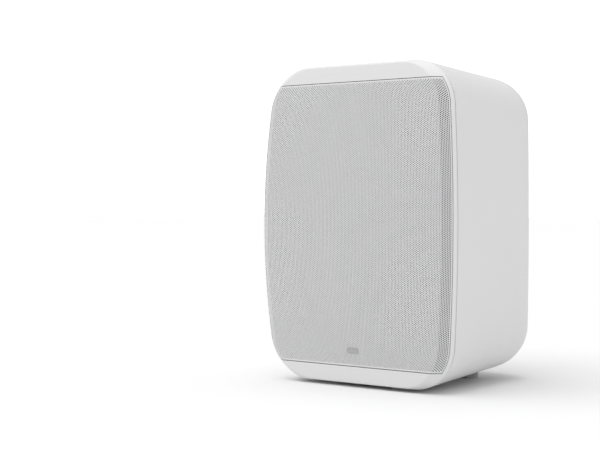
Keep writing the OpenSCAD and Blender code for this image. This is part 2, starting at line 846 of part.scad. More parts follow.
module mains_inlet() color(BLACK) at_lower(inlet_at) difference() {
    union() {
        along_y(panel_y - socket_depth - 2, panel_y) figure_eight(socket_wall);
        along_y(panel_y - 2 * panel_t, panel_y - panel_t) rounded(ear.x, ear.y, recess_corner);
    }
    along_y(panel_y - socket_depth, panel_y + over) figure_eight(0);
    for (x = [-1, 1]) {
        rod_at(x * ear_x, screw_r, panel_y - 2 * socket_depth, panel_y);
        rod_at(x * pin_half, pin_r, panel_y - 2 * socket_depth, panel_y);
    }
}

module inlet_pins() color(STEEL) at_lower(inlet_at) for (x = [-1, 1]) {
    rod_at(x * pin_half, pin_r, panel_y - 1.5 * socket_depth, panel_y - socket_depth / 4);
}

module fuse_holder() color(BLACK) at_lower(fuse_at) difference() {
    union() {
        rod(holder_r, holder_y, panel_y - panel_t);
        rod(holder_r - neck_w - run, panel_y - panel_t - over, panel_y);
    }
    rod(fuse_bore, holder_y + 2, panel_y + over);
}

module fuse_cap() color(BLACK) at_lower(fuse_at) difference() {
    union() {
        rod(fuse_cap_d / 2, panel_y + run, panel_y + fuse_cap_proud - 1);
        rod(fuse_cap_d / 2 - 1, panel_y + run, panel_y + fuse_cap_proud);
        rod(fuse_bore - run, panel_y - cap_plug_l, panel_y + 1);
    }
    rod(fuse_r + run, panel_y - cap_plug_l - over, panel_y - 1);
    translate([0, panel_y + fuse_cap_proud, 0]) cube([cap_slot.x, 2, cap_slot.y], center = true);
}

module fuse() color("silver") at_lower(fuse_at) {
    rod(fuse_r, panel_y - 2 - fuse_l, panel_y - 2);
}

// ---- rear mount ------------------------------------------------------------------------------

module at_bracket_holes() {
    for (a = [90, 210, 330])
        translate([bracket_pcd / 2 * cos(a), 0, bracket_pcd / 2 * sin(a)]) children();
}

module at_tripod_hole() {
    translate([0, 0, -tripod_drop]) children();
}

module mount_disc() color(WHITE) difference() {
    rod(disc_d / 2, back_y - disc_depth + eps, back_y);
    at_bracket_holes() rod(bracket_r, back_y - disc_depth - over, back_y + over);
    rod(stand_r, back_y - disc_depth - over, back_y + over);
    at_tripod_hole() rod(tripod_r, back_y - disc_depth - over, back_y + over);
}

module insert(r, bore) {
    ring(r, bore / 2, back_y - disc_depth + 0.5, back_y - insert_recess);
}

module bracket_inserts() color([0.35, 0.35, 0.36]) at_bracket_holes() insert(bracket_r, bracket_bore);
module stand_insert() color([0.2, 0.2, 0.21]) insert(stand_r, stand_bore);
module tripod_insert() color([0.2, 0.2, 0.21]) at_tripod_hole() insert(tripod_r, tripod_bore);

// ---- electronics -----------------------------------------------------------------------------

main_board_w = 2 * board_post_x + 14;
main_board_h = board_post_z[1] - board_post_z[0] + 12;
main_board_z = (board_post_z[0] + board_post_z[1]) / 2;
board_rear = board_plane + board_sheet;
board_corner = 3;
control_board_inset = [12, 9];
transformer_size = [40, 26, 26];
transformer_z = 22;
module_size = [28, 20, 3];
module_at = [-30, 22];

module at_main_board(side) {
    translate([0, 0, side * main_board_z]) children();
}

module main_board(side) {
    difference() {
        at_main_board(side) along_y(board_plane, board_rear) rounded(main_board_w, main_board_h, board_corner);
        at_board_posts() rod(small_screw_r + screw_play, board_plane - over, board_rear + over);
    }
}

module amplifier_board() color(BOARD) main_board(1);
module power_board() color(BOARD) main_board(-1);

module board_screws() color(STEEL) at_board_posts() {
    rod(small_screw_r, board_plane, board_plane + pilot_l - 2);
    pan_head(small_head_r, small_head_t, board_plane - small_head_t);
}

module control_board() color(BOARD) at_recess(1)
    along_y(control_y, control_y + board_sheet)
        rounded(recess_w - control_board_inset.x, recess_h - control_board_inset.y, board_corner - 1);

module transformer() color([0.72, 0.55, 0.2]) at_main_board(-1) translate([0, 0, transformer_z])
    box_along(transformer_size.x, transformer_size.y, board_rear, board_rear + transformer_size.z);

fin_count = 7;
fin_pitch = 9;
fin_t = 1.6;
fin_l = 18;
sink_size = [60, 24, 3];
sink_lift = 4;
sink_z = -20;
sink_post_x = 26;

module heat_sink() color(STEEL) at_main_board(1) translate([0, 0, sink_z]) {
    base_y = board_rear + sink_lift;
    box_along(sink_size.x, sink_size.y, base_y, base_y + sink_size.z);
    for (k = [0:fin_count - 1]) translate([(k - (fin_count - 1) / 2) * fin_pitch, 0, 0])
        box_along(fin_t, sink_size.y, base_y + sink_size.z - over, base_y + fin_l);
    for (x = [-1, 1]) rod_at(x * sink_post_x, 2, board_rear, base_y + over);
}

// Radius and height of the capacitors
big_can = [9, 24];
small_can = [5, 12];

module capacitors() color([0.15, 0.16, 0.3]) at_main_board(-1) {
    for (x = [-34, 34]) translate([0, 0, 24]) rod_at(x, big_can.x, board_rear, board_rear + big_can.y);
    for (x = [-40, -26, 26]) translate([0, 0, -28])
        rod_at(x, small_can.x, board_rear, board_rear + small_can.y);
}

module wireless_module() color("silver") at_main_board(1) translate([module_at.x, 0, module_at.y])
    box_along(module_size.x, module_size.y, board_rear, board_rear + module_size.z);

function unit(v) = v / norm(v);

// Tube along points that never run straight along X
module wire(points, r) {
    sides = 8;
    last = len(points) - 1;
    rings = [for (k = [0:last])
        let (t = unit(points[min(k + 1, last)] - points[max(k - 1, 0)]),
            u = unit(cross(t, [1, 0, 0])), v = cross(t, u))
        each [for (s = [0:sides - 1]) points[k] + r * (u * cos(360 * s / sides) + v * sin(360 * s / sides))]];
    polyhedron(rings, concat(
        [for (k = [0:last - 1]) for (s = [0:sides - 1])
            let (a = k * sides + s, b = k * sides + (s + 1) % sides)
            each [[a, b + sides, b], [a, a + sides, b + sides]]],
        [[for (s = [0:sides - 1]) s]],
        [[for (s = [sides - 1:-1:0]) last * sides + s]]));
}

wire_r = 0.9;
wire_gap = 1;

module speaker_wires() color("red") for (side = [-1, 1]) {
    x = 62 + side * wire_gap * 1.2;
    wire([[x, board_plane - 0.2, 20], [x, board_plane - 6, 19], [x - 1, 84, 8], [x - 3, 66, -12],
        [x - 8, 58, woofer_z + 8], [x - 16, 56, woofer_z]], wire_r);
    y = board_y + 20;
    wire([[side * 4 + 28, board_plane - 0.2, 46], [side * 4 + 28, board_plane - 8, 47],
        [side * 3 + 20, 70, 48], [side * 3 + 12, 52, tweeter_z - 18], [side * 3 + 8, y + 8, tweeter_z - 10],
        [side * 3 + 6, y + 1, tweeter_z - 8.5]], wire_r);
}

wadding_size = [104, 34];
wadding_corner = 10;
wadding_drop = 38;     // middle of the wadding below the top

module damping_wadding() color("lightgray") translate([0, 0, body_h / 2 - wadding_drop])
    along_y(board_back + 24, board_plane - 8) rounded(wadding_size.x, wadding_size.y, wadding_corner);

// ---- feet ------------------------------------------------------------------------------------

foot_x = 31;
foot_front_y = 24;
foot_rear_y = body_d - rear_r - 2;
foot_reach = 30; // long enough to meet the sloping underside

module feet() color([0.55, 0.55, 0.55]) difference() {
    for (x = [-1, 1]) for (y = [foot_front_y, foot_rear_y])
        translate([x * foot_x, y, -body_h / 2 - foot_gap]) cylinder(r = foot_r, h = foot_reach);
    translate([0, seam_y, -body_h / 2]) rotate([roof_slope, 0, 0])
        translate([-body_w / 2, -body_w, 0]) cube([body_w, 3 * body_w, body_w]);
}

// Puts the middle of the footprint on the origin, with the feet on z = 0
module placed() {
    translate([0, -total_d / 2, foot_gap + body_h / 2]) children();
}

placed() cabinet_shell();
placed() front_baffle();
placed() baffle_gasket();
placed() baffle_screws();
placed() grille();
placed() grille_badge();
placed() grille_magnets();
placed() woofer_basket();
placed() woofer_cone();
placed() woofer_dust_cap();
placed() woofer_voice_coil();
placed() woofer_surround();
placed() woofer_spider();
placed() woofer_magnet();
placed() woofer_pole_piece();
placed() woofer_top_plate();
placed() woofer_screws();
placed() tweeter_faceplate();
placed() tweeter_dome();
placed() tweeter_voice_coil();
placed() tweeter_surround();
placed() tweeter_magnet();
placed() tweeter_screws();
placed() control_panel();
placed() volume_knob();
placed() potentiometer();
placed() potentiometer_shaft();
placed() upper_switch_block();
placed() upper_switch_lever_1();
placed() upper_switch_lever_2();
placed() status_led();
placed() aux_jack();
placed() antenna_connector();
placed() antenna();
placed() antenna_contact();
placed() power_panel();
placed() power_panel_screws();
placed() lower_switch_block();
placed() lower_switch_lever_1();
placed() lower_switch_lever_2();
placed() mains_inlet();
placed() inlet_pins();
placed() fuse_holder();
placed() fuse_cap();
placed() fuse();
placed() mount_disc();
placed() bracket_inserts();
placed() stand_insert();
placed() tripod_insert();
placed() control_board();
placed() amplifier_board();
placed() power_board();
placed() board_screws();
placed() transformer();
placed() heat_sink();
placed() capacitors();
placed() wireless_module();
placed() speaker_wires();
placed() damping_wadding();
placed() feet();
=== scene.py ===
"""Looks of an active bookshelf speaker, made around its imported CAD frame.

The CAD model's formulas for the cabinet outline, the crowned front and the rear rounding are repeated
here, in millimetres, with finer steps. Points are x, depth behind the foremost point of the front, and
z from mid height; row_points() turns them into the row frame.
"""
import json
import math
import bpy
import numpy as np
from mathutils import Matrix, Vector


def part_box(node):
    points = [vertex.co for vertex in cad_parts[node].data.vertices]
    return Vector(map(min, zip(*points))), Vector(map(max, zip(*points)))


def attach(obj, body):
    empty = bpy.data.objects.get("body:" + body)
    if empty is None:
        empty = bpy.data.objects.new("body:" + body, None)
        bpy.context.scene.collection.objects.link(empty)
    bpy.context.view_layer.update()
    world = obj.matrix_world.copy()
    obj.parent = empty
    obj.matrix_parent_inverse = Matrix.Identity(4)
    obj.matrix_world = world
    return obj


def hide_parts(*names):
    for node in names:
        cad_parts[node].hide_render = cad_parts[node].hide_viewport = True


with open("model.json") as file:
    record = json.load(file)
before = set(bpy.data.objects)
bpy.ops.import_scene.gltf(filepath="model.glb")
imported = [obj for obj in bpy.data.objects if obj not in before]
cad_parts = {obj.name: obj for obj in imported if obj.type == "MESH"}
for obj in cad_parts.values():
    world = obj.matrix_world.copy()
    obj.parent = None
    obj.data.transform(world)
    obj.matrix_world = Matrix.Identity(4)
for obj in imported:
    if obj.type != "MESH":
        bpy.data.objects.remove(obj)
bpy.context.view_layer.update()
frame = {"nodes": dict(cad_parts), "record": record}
record = frame["record"]
nodes = frame["nodes"]

MM = 0.001

# ---- where the CAD pieces are ----------------------------------------------------------------

shell_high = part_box("cabinet_shell")[1]
baffle_low, baffle_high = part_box("front_baffle")
FRONT_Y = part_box("grille")[0].y
MID_Z = (baffle_low.z + baffle_high.z) / 2


def middle(node):
    """Middle of a CAD node's box, in metres."""
    low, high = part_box(node)
    return (low + high) / 2


def depth_of(y):
    """Millimetres behind the foremost point of the front."""
    return (y - FRONT_Y) / MM


def row_points(points):
    return np.asarray(points, float) * MM + [0, FRONT_Y, MID_Z]


# ---- the cabinet's form, in millimetres ------------------------------------------------------

BODY_W = (baffle_high.x - baffle_low.x) / MM
BODY_H = (baffle_high.z - baffle_low.z) / MM
BODY_D = depth_of(shell_high.y)
CORNER_R = 32
SIDE_BOW = 8.5
FRONT_CROWN = 6
ROOF_SLOPE = math.radians(3.5)
SIDE_SLOPE = math.radians(2)
REAR_R = 40
REAR_DROP = 20
CORNER_EASE = 0.35
BACK_DISH = 3
DISH_REACH = 80
WALL = 4
BEVEL_W = 9
BEVEL_D = 7
SEAM_Y = BEVEL_D + 1
SEAM_GAP = 0.8
FOLD_TOP = 1.4
FOLD_CORNER_R = CORNER_R - 3
GRILLE_H = 212
RIM_W = 2.4
GRILLE_GAP = 0.3
GRILLE_FLOOR = 1.8
FACE_HALF_W = BODY_W / 2 - SIDE_BOW
CROWN_R = (BODY_H ** 2 / 4 + FRONT_CROWN ** 2) / (2 * FRONT_CROWN)
DISH_R = (DISH_REACH ** 2 + BACK_DISH ** 2) / (2 * BACK_DISH)
EDGE_ROUND = 0.45
CUT_PAST = 5  # how far a cutter runs past a face
ROUND_STEPS = 96


def crown_at(z):
    """Depth of the crowned front at height z."""
    return CROWN_R - np.sqrt(CROWN_R ** 2 - np.square(z))


def back_at(z):
    """Depth of the back, with its shallow hollow, at height z."""
    inside = np.minimum(np.abs(z), DISH_REACH)
    return BODY_D - BACK_DISH + DISH_R - np.sqrt(DISH_R ** 2 - inside ** 2)


def half_outline(half_w, half_h, corner, bow, arc_steps=14, side_steps=30):
    """Right half of the rounded, bowed outline as rows of x and z, from the bottom up."""
    low = np.radians(np.linspace(-90, 0, arc_steps + 1))
    high = low + math.pi / 2
    straight = np.linspace(corner - half_h, half_h - corner, side_steps + 1)[1:-1]
    x = np.concatenate([half_w - corner + corner * np.cos(low), np.full(side_steps - 1, half_w),
                        half_w - corner + corner * np.cos(high)])
    z = np.concatenate([corner - half_h + corner * np.sin(low), straight,
                        half_h - corner + corner * np.sin(high)])
    return np.column_stack([x + bow * (1 - (z / half_h) ** 2) * x / half_w, z])


def whole(half):
    """Both halves of an outline from its right half."""
    return np.vstack([half, half[::-1] * [-1, 1]])


def body_outline(depth, inset):
    """Outline of the cabinet at a depth, for a surface set in from it."""
    radius = REAR_R - inset
    past = max(0.0, depth - (BODY_D - REAR_R))
    turn = radius - math.sqrt(max(0.0, radius ** 2 - past ** 2))
    behind = max(0.0, depth - SEAM_Y)
    return whole(half_outline(
        FACE_HALF_W - math.tan(SIDE_SLOPE) * behind - inset - turn,
        BODY_H / 2 - math.tan(ROOF_SLOPE) * behind - inset - turn * (REAR_DROP - inset) / radius,
        CORNER_R - inset - CORNER_EASE * turn,
        SIDE_BOW * (1 - behind / (BODY_D - SEAM_Y))))


fold_outline = whole(half_outline(FACE_HALF_W - BEVEL_W, BODY_H / 2 - FOLD_TOP, FOLD_CORNER_R, SIDE_BOW))
edge_outline = whole(half_outline(FACE_HALF_W, BODY_H / 2, CORNER_R, SIDE_BOW))


def half_width(outline, z):
    """Half width of an outline at heights z."""
    half = outline[:len(outline) // 2]
    return np.interp(z, half[:, 1], half[:, 0])


# ---- mesh helpers ----------------------------------------------------------------------------

def add_mesh(name, points, faces, smooth_angle=40):
    mesh = bpy.data.meshes.new(name)
    mesh.from_pydata(np.asarray(points).tolist(), [], [list(map(int, f)) for f in faces])
    mesh.validate()
    piece = bpy.data.objects.new(name, mesh)
    bpy.context.scene.collection.objects.link(piece)
    if smooth_angle:
        smooth(piece, smooth_angle)
    return piece


def smooth(piece, angle):
    mesh = piece.data
    mesh.shade_smooth()
    mesh.set_sharp_from_angle(angle=math.radians(angle))


def ring_faces(rows, count, closed_rows=False):
    """Quads between rows of count points, each row a closed ring."""
    faces = []
    last = rows if closed_rows else rows - 1
    for row in range(last):
        here, there = row * count, (row + 1) % rows * count
        for k in range(count):
            after = (k + 1) % count
            faces.append((here + k, here + after, there + after, there + k))
    return faces


def capped(name, rings):
    """Closed solid through rings of equal length, in CAD millimetres, with a fan at each end."""
    count = len(rings[0])
    points = np.vstack(rings + [rings[0].mean(0), rings[-1].mean(0)])
    faces = ring_faces(len(rings), count)
    first, last = len(points) - 2, len(points) - 1
    base = (len(rings) - 1) * count
    for k in range(count):
        after = (k + 1) % count
        faces.append((first, after, k))
        faces.append((last, base + k, base + after))
    piece = add_mesh(name, row_points(points), faces, smooth_angle=None)
    outward(piece)
    return piece


def outward(piece):
    """Turns a closed mesh's faces outwards."""
    mesh = piece.data
    co = np.array([v.co for v in mesh.vertices])
    volume = 0.0
    for polygon in mesh.polygons:
        corners = co[list(polygon.vertices)]
        for k in range(1, len(corners) - 1):
            volume += np.dot(corners[0], np.cross(corners[k], corners[k + 1]))
    if volume < 0:
        mesh.flip_normals()


def at_depth(outline, depth):
    """Rows of x, depth, z from an outline and one depth or one for each point."""
    return np.column_stack([outline[:, 0], np.broadcast_to(depth, len(outline)), outline[:, 1]])


def shrunk(outline, steps, depth):
    """Rings from an outline to its middle, each at the depth that a function of z gives."""
    return [at_depth(outline * share, depth(outline[:, 1] * share)) for share in steps]


def combine(piece, tools, operation="DIFFERENCE"):
    """Applies a boolean with each tool in turn, and removes the tools."""
    for tool in tools:
        cut = piece.modifiers.new("cut", "BOOLEAN")
        cut.operation = operation
        cut.solver = "EXACT"
        cut.object = tool
    bpy.context.view_layer.update()
    result = piece.evaluated_get(bpy.context.evaluated_depsgraph_get())
    mesh = bpy.data.meshes.new_from_object(result)
    piece.modifiers.clear()
    old = piece.data
    piece.data = mesh
    bpy.data.meshes.remove(old)
    for tool in tools:
        bpy.data.objects.remove(tool)
    return piece


def round_rect(half_w, half_h, radius, steps=8):
    """Rounded rectangle about the origin, as rows of x and z."""
    corners = [(1, -1, -90), (1, 1, 0), (-1, 1, 90), (-1, -1, 180)]
    rows = []
    for sign_x, sign_z, start in corners:
        turn = np.radians(np.linspace(start, start + 90, steps + 1))
        rows.append(np.column_stack([sign_x * (half_w - radius) + radius * np.cos(turn),
                                     sign_z * (half_h - radius) + radius * np.sin(turn)]))
    return np.vstack(rows)


def circle(radius, steps=64):
    turn = np.linspace(0, 2 * math.pi, steps, endpoint=False)
    return np.column_stack([radius * np.cos(turn), radius * np.sin(turn)])


def post(name, radius, centre, start, end, steps=48):
    """Solid rod along the depth."""
    outline = circle(radius, steps) + centre
    return capped(name, [at_depth(outline, start), at_depth(outline, end)])


def lipped_cutter(name, outline_for, centre, floor, lip, surface):
    """Cutter for a hole whose mouth is rounded by lip where it meets a curved surface.

    outline_for(grow) gives the hole's outline, grown by some millimetres, about its own middle."""
    rings = [at_depth(outline_for(0) + centre, floor)]
    for turn in np.radians(np.linspace(0, 90, 6)):
        outline = outline_for(lip * (1 - math.cos(turn))) + centre
        rings.append(at_depth(outline, surface(outline[:, 1]) - lip * (1 - math.sin(turn))))
    outline = outline_for(lip) + centre
    rings.append(at_depth(outline, surface(outline[:, 1]) + CUT_PAST))
    return capped(name, rings)


# ---- materials -------------------------------------------------------------------------------

class Finish:
    """A Principled material whose colour, gloss and bump come from procedural nodes."""

    def __init__(self, name, colour, roughness, metallic=0.0):
        self.material = bpy.data.materials.new(name)
        self.material.use_nodes = True
        self.tree = self.material.node_tree
        self.shader = self.tree.nodes["Principled BSDF"]
        self.shader.inputs["Metallic"].default_value = metallic
        self.shader.inputs["Roughness"].default_value = roughness
        self.colour = tuple(colour)
        self.colour_out = None
        self.height_out = []
        self.place = self.node("ShaderNodeTexCoord").outputs["Object"]

    def node(self, kind, **settings):
        made = self.tree.nodes.new(kind)
        for key, value in settings.items():
            setattr(made, key, value)
        return made

    def link(self, source, target):
        self.tree.links.new(source, target)

    def mapped(self, scale=(1, 1, 1), location=(0, 0, 0)):
        made = self.node("ShaderNodeMapping")
        made.inputs["Scale"].default_value = scale
        made.inputs["Location"].default_value = location
        self.link(self.place, made.inputs["Vector"])
        return made.outputs["Vector"]

    def noise(self, scale, detail=3.0, vector=None):
        made = self.node("ShaderNodeTexNoise")
        made.inputs["Scale"].default_value = scale
        made.inputs["Detail"].default_value = detail
        self.link(vector or self.place, made.inputs["Vector"])
        return made.outputs["Fac"]

    def wave(self, period, direction="Y", rings=False, vector=None, distortion=0.0):
        """Bands, or rings about an axis, that repeat every period metres."""
        made = self.node("ShaderNodeTexWave", wave_type="RINGS" if rings else "BANDS")
        if rings:
            made.rings_direction = direction
        else:
            made.bands_direction = direction
        made.inputs["Scale"].default_value = 2 * math.pi / (20 * period)
        made.inputs["Distortion"].default_value = distortion
        self.link(vector or self.place, made.inputs["Vector"])
        return made.outputs["Fac"]

    def ramp(self, source, low, high):
        made = self.node("ShaderNodeMapRange")
        made.inputs["To Min"].default_value = low
        made.inputs["To Max"].default_value = high
        self.link(source, made.inputs["Value"])
        return made.outputs["Result"]

    def threshold(self, source, start, end):
        """0 below start, 1 above end."""
        made = self.node("ShaderNodeMapRange", clamp=True)
        made.inputs["From Min"].default_value = start
        made.inputs["From Max"].default_value = end
        self.link(source, made.inputs["Value"])
        return made.outputs["Result"]

    def tint(self, factor, colour):
        """Mixes another colour in by a factor."""
        made = self.node("ShaderNodeMix", data_type="RGBA")
        made.inputs[6].default_value = (*self.colour, 1)
        if self.colour_out:
            self.link(self.colour_out, made.inputs[6])
        made.inputs[7].default_value = (*colour, 1)
        self.link(factor, made.inputs[0])
        self.colour_out = made.outputs[2]

    def mottle(self, scale, amount, detail=3.0):
        darker = [c * (1 - amount) for c in self.colour]
        self.tint(self.noise(scale, detail), darker)

    def gloss(self, scale, low, high):
        self.link(self.ramp(self.noise(scale, 4.0), low, high), self.shader.inputs["Roughness"])

    def bump(self, source, depth, strength=1.0):
        self.height_out.append((source, depth, strength))

    def done(self, **sockets):
        normal = None
        for source, depth, strength in self.height_out:
            made = self.node("ShaderNodeBump")
            made.inputs["Distance"].default_value = depth
            made.inputs["Strength"].default_value = strength
            self.link(source, made.inputs["Height"])
            if normal:
                self.link(normal, made.inputs["Normal"])
            normal = made.outputs["Normal"]
        if normal:
            self.link(normal, self.shader.inputs["Normal"])
        if self.colour_out:
            self.link(self.colour_out, self.shader.inputs["Base Color"])
        else:
            self.shader.inputs["Base Color"].default_value = (*self.colour, 1)
        for key, value in sockets.items():
            self.shader.inputs[key.replace("_", " ")].default_value = value
        return self.material


def shaded(colour, factor, lift=0):
    """Darker or lighter version of a colour."""
    return [c * factor + lift for c in colour]


slot_colour = {m["slot"]: m["base_color"][:3] for m in record["materials"]}


def moulded(name, colour, low, high, grain, depth, amount=0.05, **sockets):
    """Moulded plastic: a spark-eroded grain, slow drifts in tone and an uneven gloss."""
    finish = Finish(name, colour, roughness=low)
    finish.mottle(scale=25, amount=amount)
    finish.mottle(scale=grain * 0.6, amount=amount * 0.6, detail=2.0)
    finish.gloss(scale=90, low=low, high=high)
    finish.bump(finish.noise(scale=grain, detail=2.0), depth=depth)
    return finish.done(**sockets)


def metal(name, colour, low, high, stretch=(1, 1, 1), grain=2500, depth=0.00001, **sockets):
    """Plated or ground metal: fine drawn marks along one axis and smudged gloss."""
    finish = Finish(name, colour, roughness=low, metallic=1.0)
    marks = finish.noise(scale=grain, detail=4.0, vector=finish.mapped(scale=stretch))
    finish.tint(marks, shaded(colour, 0.72))
    finish.gloss(scale=220, low=low, high=high)
    finish.bump(marks, depth=depth)
    return finish.done(**sockets)


def rubber(name, colour):
    """Matt rubber with pale dust in its grain."""
    finish = Finish(name, colour, roughness=0.7)
    finish.mottle(scale=60, amount=0.25)
    dust = finish.threshold(finish.noise(scale=900, detail=5.0), start=0.62, end=0.8)
    finish.tint(dust, shaded(colour, 1.9, 0.01))
    finish.gloss(scale=150, low=0.6, high=0.85)
    finish.bump(finish.noise(scale=1800, detail=3.0), depth=0.00003)
    return finish.done(Specular_IOR_Level=0.35)


def painted_sheet(name, colour):
    """Powder coat on sheet steel: orange peel and a low sheen."""
    finish = Finish(name, colour, roughness=0.42)
    finish.mottle(scale=30, amount=0.04)
    finish.mottle(scale=1400, amount=0.05, detail=2.0)
    finish.gloss(scale=200, low=0.38, high=0.55)
    finish.bump(finish.noise(scale=1100, detail=2.0), depth=0.00004)
    return finish.done(Specular_IOR_Level=0.4)


def threaded(name, colour, low, high, pitch=1 * MM):
    """Metal with a thread's ridges along the depth."""
    finish = Finish(name, colour, roughness=low, metallic=1.0)
    finish.tint(finish.noise(scale=1200, detail=4.0), shaded(colour, 0.6))
    finish.gloss(scale=300, low=low, high=high)
    finish.bump(finish.wave(pitch), depth=0.00025)
    return finish.done()


def cone_paper(name, colour):
    """Pressed pulp: long fibres, and shallow rings round the woofer's axis."""
    finish = Finish(name, colour, roughness=0.7)
    centre = middle("woofer_cone")
    about_axis = finish.mapped(location=(-centre.x, -centre.y, -centre.z))
    fibres = finish.noise(scale=700, detail=6.0, vector=finish.mapped(scale=(1, 1, 0.35)))
    finish.tint(fibres, shaded(colour, 1.8, 0.01))
    finish.gloss(scale=120, low=0.55, high=0.8)
    finish.bump(finish.wave(4.5 * MM, rings=True, vector=about_axis), depth=0.0003)
    finish.bump(fibres, depth=0.0001)
    return finish.done(Specular_IOR_Level=0.3)


def woven(name, colour, pitch, sheen=0.3):
    """Plain weave from two crossed sets of threads."""
    finish = Finish(name, colour, roughness=0.8)
    warp = finish.wave(pitch, "X")
    weft = finish.wave(pitch, "Z")
    finish.tint(warp, shaded(colour, 0.7))
    finish.mottle(scale=80, amount=0.15)
    finish.gloss(scale=200, low=0.7, high=0.9)
    finish.bump(warp, depth=0.00008)
    finish.bump(weft, depth=0.00008)
    return finish.done(Sheen_Weight=sheen)


def circuit_board(name, colour):
    """Solder mask over copper tracks, with a few bright pads."""
    finish = Finish(name, colour, roughness=0.35)
    tracks = finish.node("ShaderNodeTexBrick", offset=0.3)
    tracks.inputs["Scale"].default_value = 90
    tracks.inputs["Mortar Size"].default_value = 0.03
    turned = finish.node("ShaderNodeMapping")
    turned.inputs["Rotation"].default_value = (math.pi / 2, 0, 0)
    finish.link(finish.place, turned.inputs["Vector"])
    finish.link(turned.outputs["Vector"], tracks.inputs["Vector"])
    finish.tint(tracks.outputs["Fac"], shaded(colour, 1.7, 0.02))
    cells = finish.node("ShaderNodeTexVoronoi", feature="F1")
    cells.inputs["Scale"].default_value = 260
    finish.link(finish.place, cells.inputs["Vector"])
    pads = finish.threshold(cells.outputs["Distance"], start=0.22, end=0.16)
    finish.tint(pads, (0.62, 0.6, 0.55))
    finish.gloss(scale=180, low=0.3, high=0.45)
    finish.bump(tracks.outputs["Fac"], depth=0.00005)
    return finish.done()


def wound(name, colour, pitch):
    """Enamelled wire wound side by side."""
    finish = Finish(name, colour, roughness=0.3, metallic=1.0)
    finish.tint(finish.noise(scale=500, detail=3.0), shaded(colour, 0.6))
    finish.gloss(scale=300, low=0.25, high=0.4)
    finish.bump(finish.wave(pitch), depth=0.0001)
    return finish.done(Coat_Weight=0.4)


def taped(name, colour):
    """Yellow tape round a ferrite core, with the tape's overlapping edges."""
    finish = Finish(name, colour, roughness=0.4)
    laps = finish.wave(8 * MM, "X", distortion=0.3)
    finish.tint(finish.threshold(laps, start=0.92, end=0.97), shaded(colour, 0.55))
    finish.tint(finish.threshold(finish.wave(26 * MM, "Z"), start=0.9, end=0.94), (0.05, 0.05, 0.055))
    finish.mottle(scale=120, amount=0.1)
    finish.gloss(scale=250, low=0.35, high=0.55)
    finish.bump(laps, depth=0.0002)
    return finish.done()


def lens(name, colour):
    """Clear tinted epoxy with a faint cloud in it."""
    finish = Finish(name, colour, roughness=0.12)
    finish.mottle(scale=900, amount=0.3)
    finish.gloss(scale=400, low=0.08, high=0.2)
    finish.bump(finish.noise(scale=600, detail=2.0), depth=0.00001)
    return finish.done(Transmission_Weight=0.5, IOR=1.5)


def fuse_tube(name, colour):
    """Glossy glass tube with bright metal at its ends."""
    finish = Finish(name, colour, roughness=0.1)
    caps = finish.threshold(finish.wave(20 * MM), start=0.75, end=0.8)
    finish.tint(caps, (0.7, 0.7, 0.7))
    finish.mottle(scale=500, amount=0.1)
    finish.gloss(scale=300, low=0.06, high=0.2)
    finish.bump(finish.noise(scale=800, detail=2.0), depth=0.00001)
    return finish.done(IOR=1.5)


def fibre_fill(name, colour):
    """Polyester fibre: tangled strands and a soft sheen."""
    finish = Finish(name, colour, roughness=0.95)
    strands = finish.noise(scale=380, detail=8.0, vector=finish.mapped(scale=(1, 0.3, 1)))
    finish.tint(strands, shaded(colour, 0.75))
    finish.gloss(scale=100, low=0.85, high=1.0)
    finish.bump(strands, depth=0.0012)
    return finish.done(Sheen_Weight=0.5, Sheen_Roughness=0.5)


def speckled(name, colour):
    """Ground ferrite: dark, with small bright grains."""
    finish = Finish(name, colour, roughness=0.5)
    finish.mottle(scale=70, amount=0.2)
    grains = finish.threshold(finish.noise(scale=1500, detail=4.0), start=0.66, end=0.72)
    finish.tint(grains, shaded(colour, 2.2))
    finish.gloss(scale=160, low=0.4, high=0.6)
    finish.bump(finish.noise(scale=1500, detail=4.0), depth=0.00003)
    return finish.done()


WHITE_PLASTIC = (0.80, 0.80, 0.80)
SHEET_WHITE = (0.80, 0.80, 0.805)
FOOT_GREY = (0.5, 0.5, 0.5)
# Painted shade: the seam's gasket is darkened so that the gap between the front and the shell shows as a
# dark line.
SEAM_SHADE_GREY = (0.15, 0.15, 0.15)
SCREW_BLACK = (0.06, 0.06, 0.06)
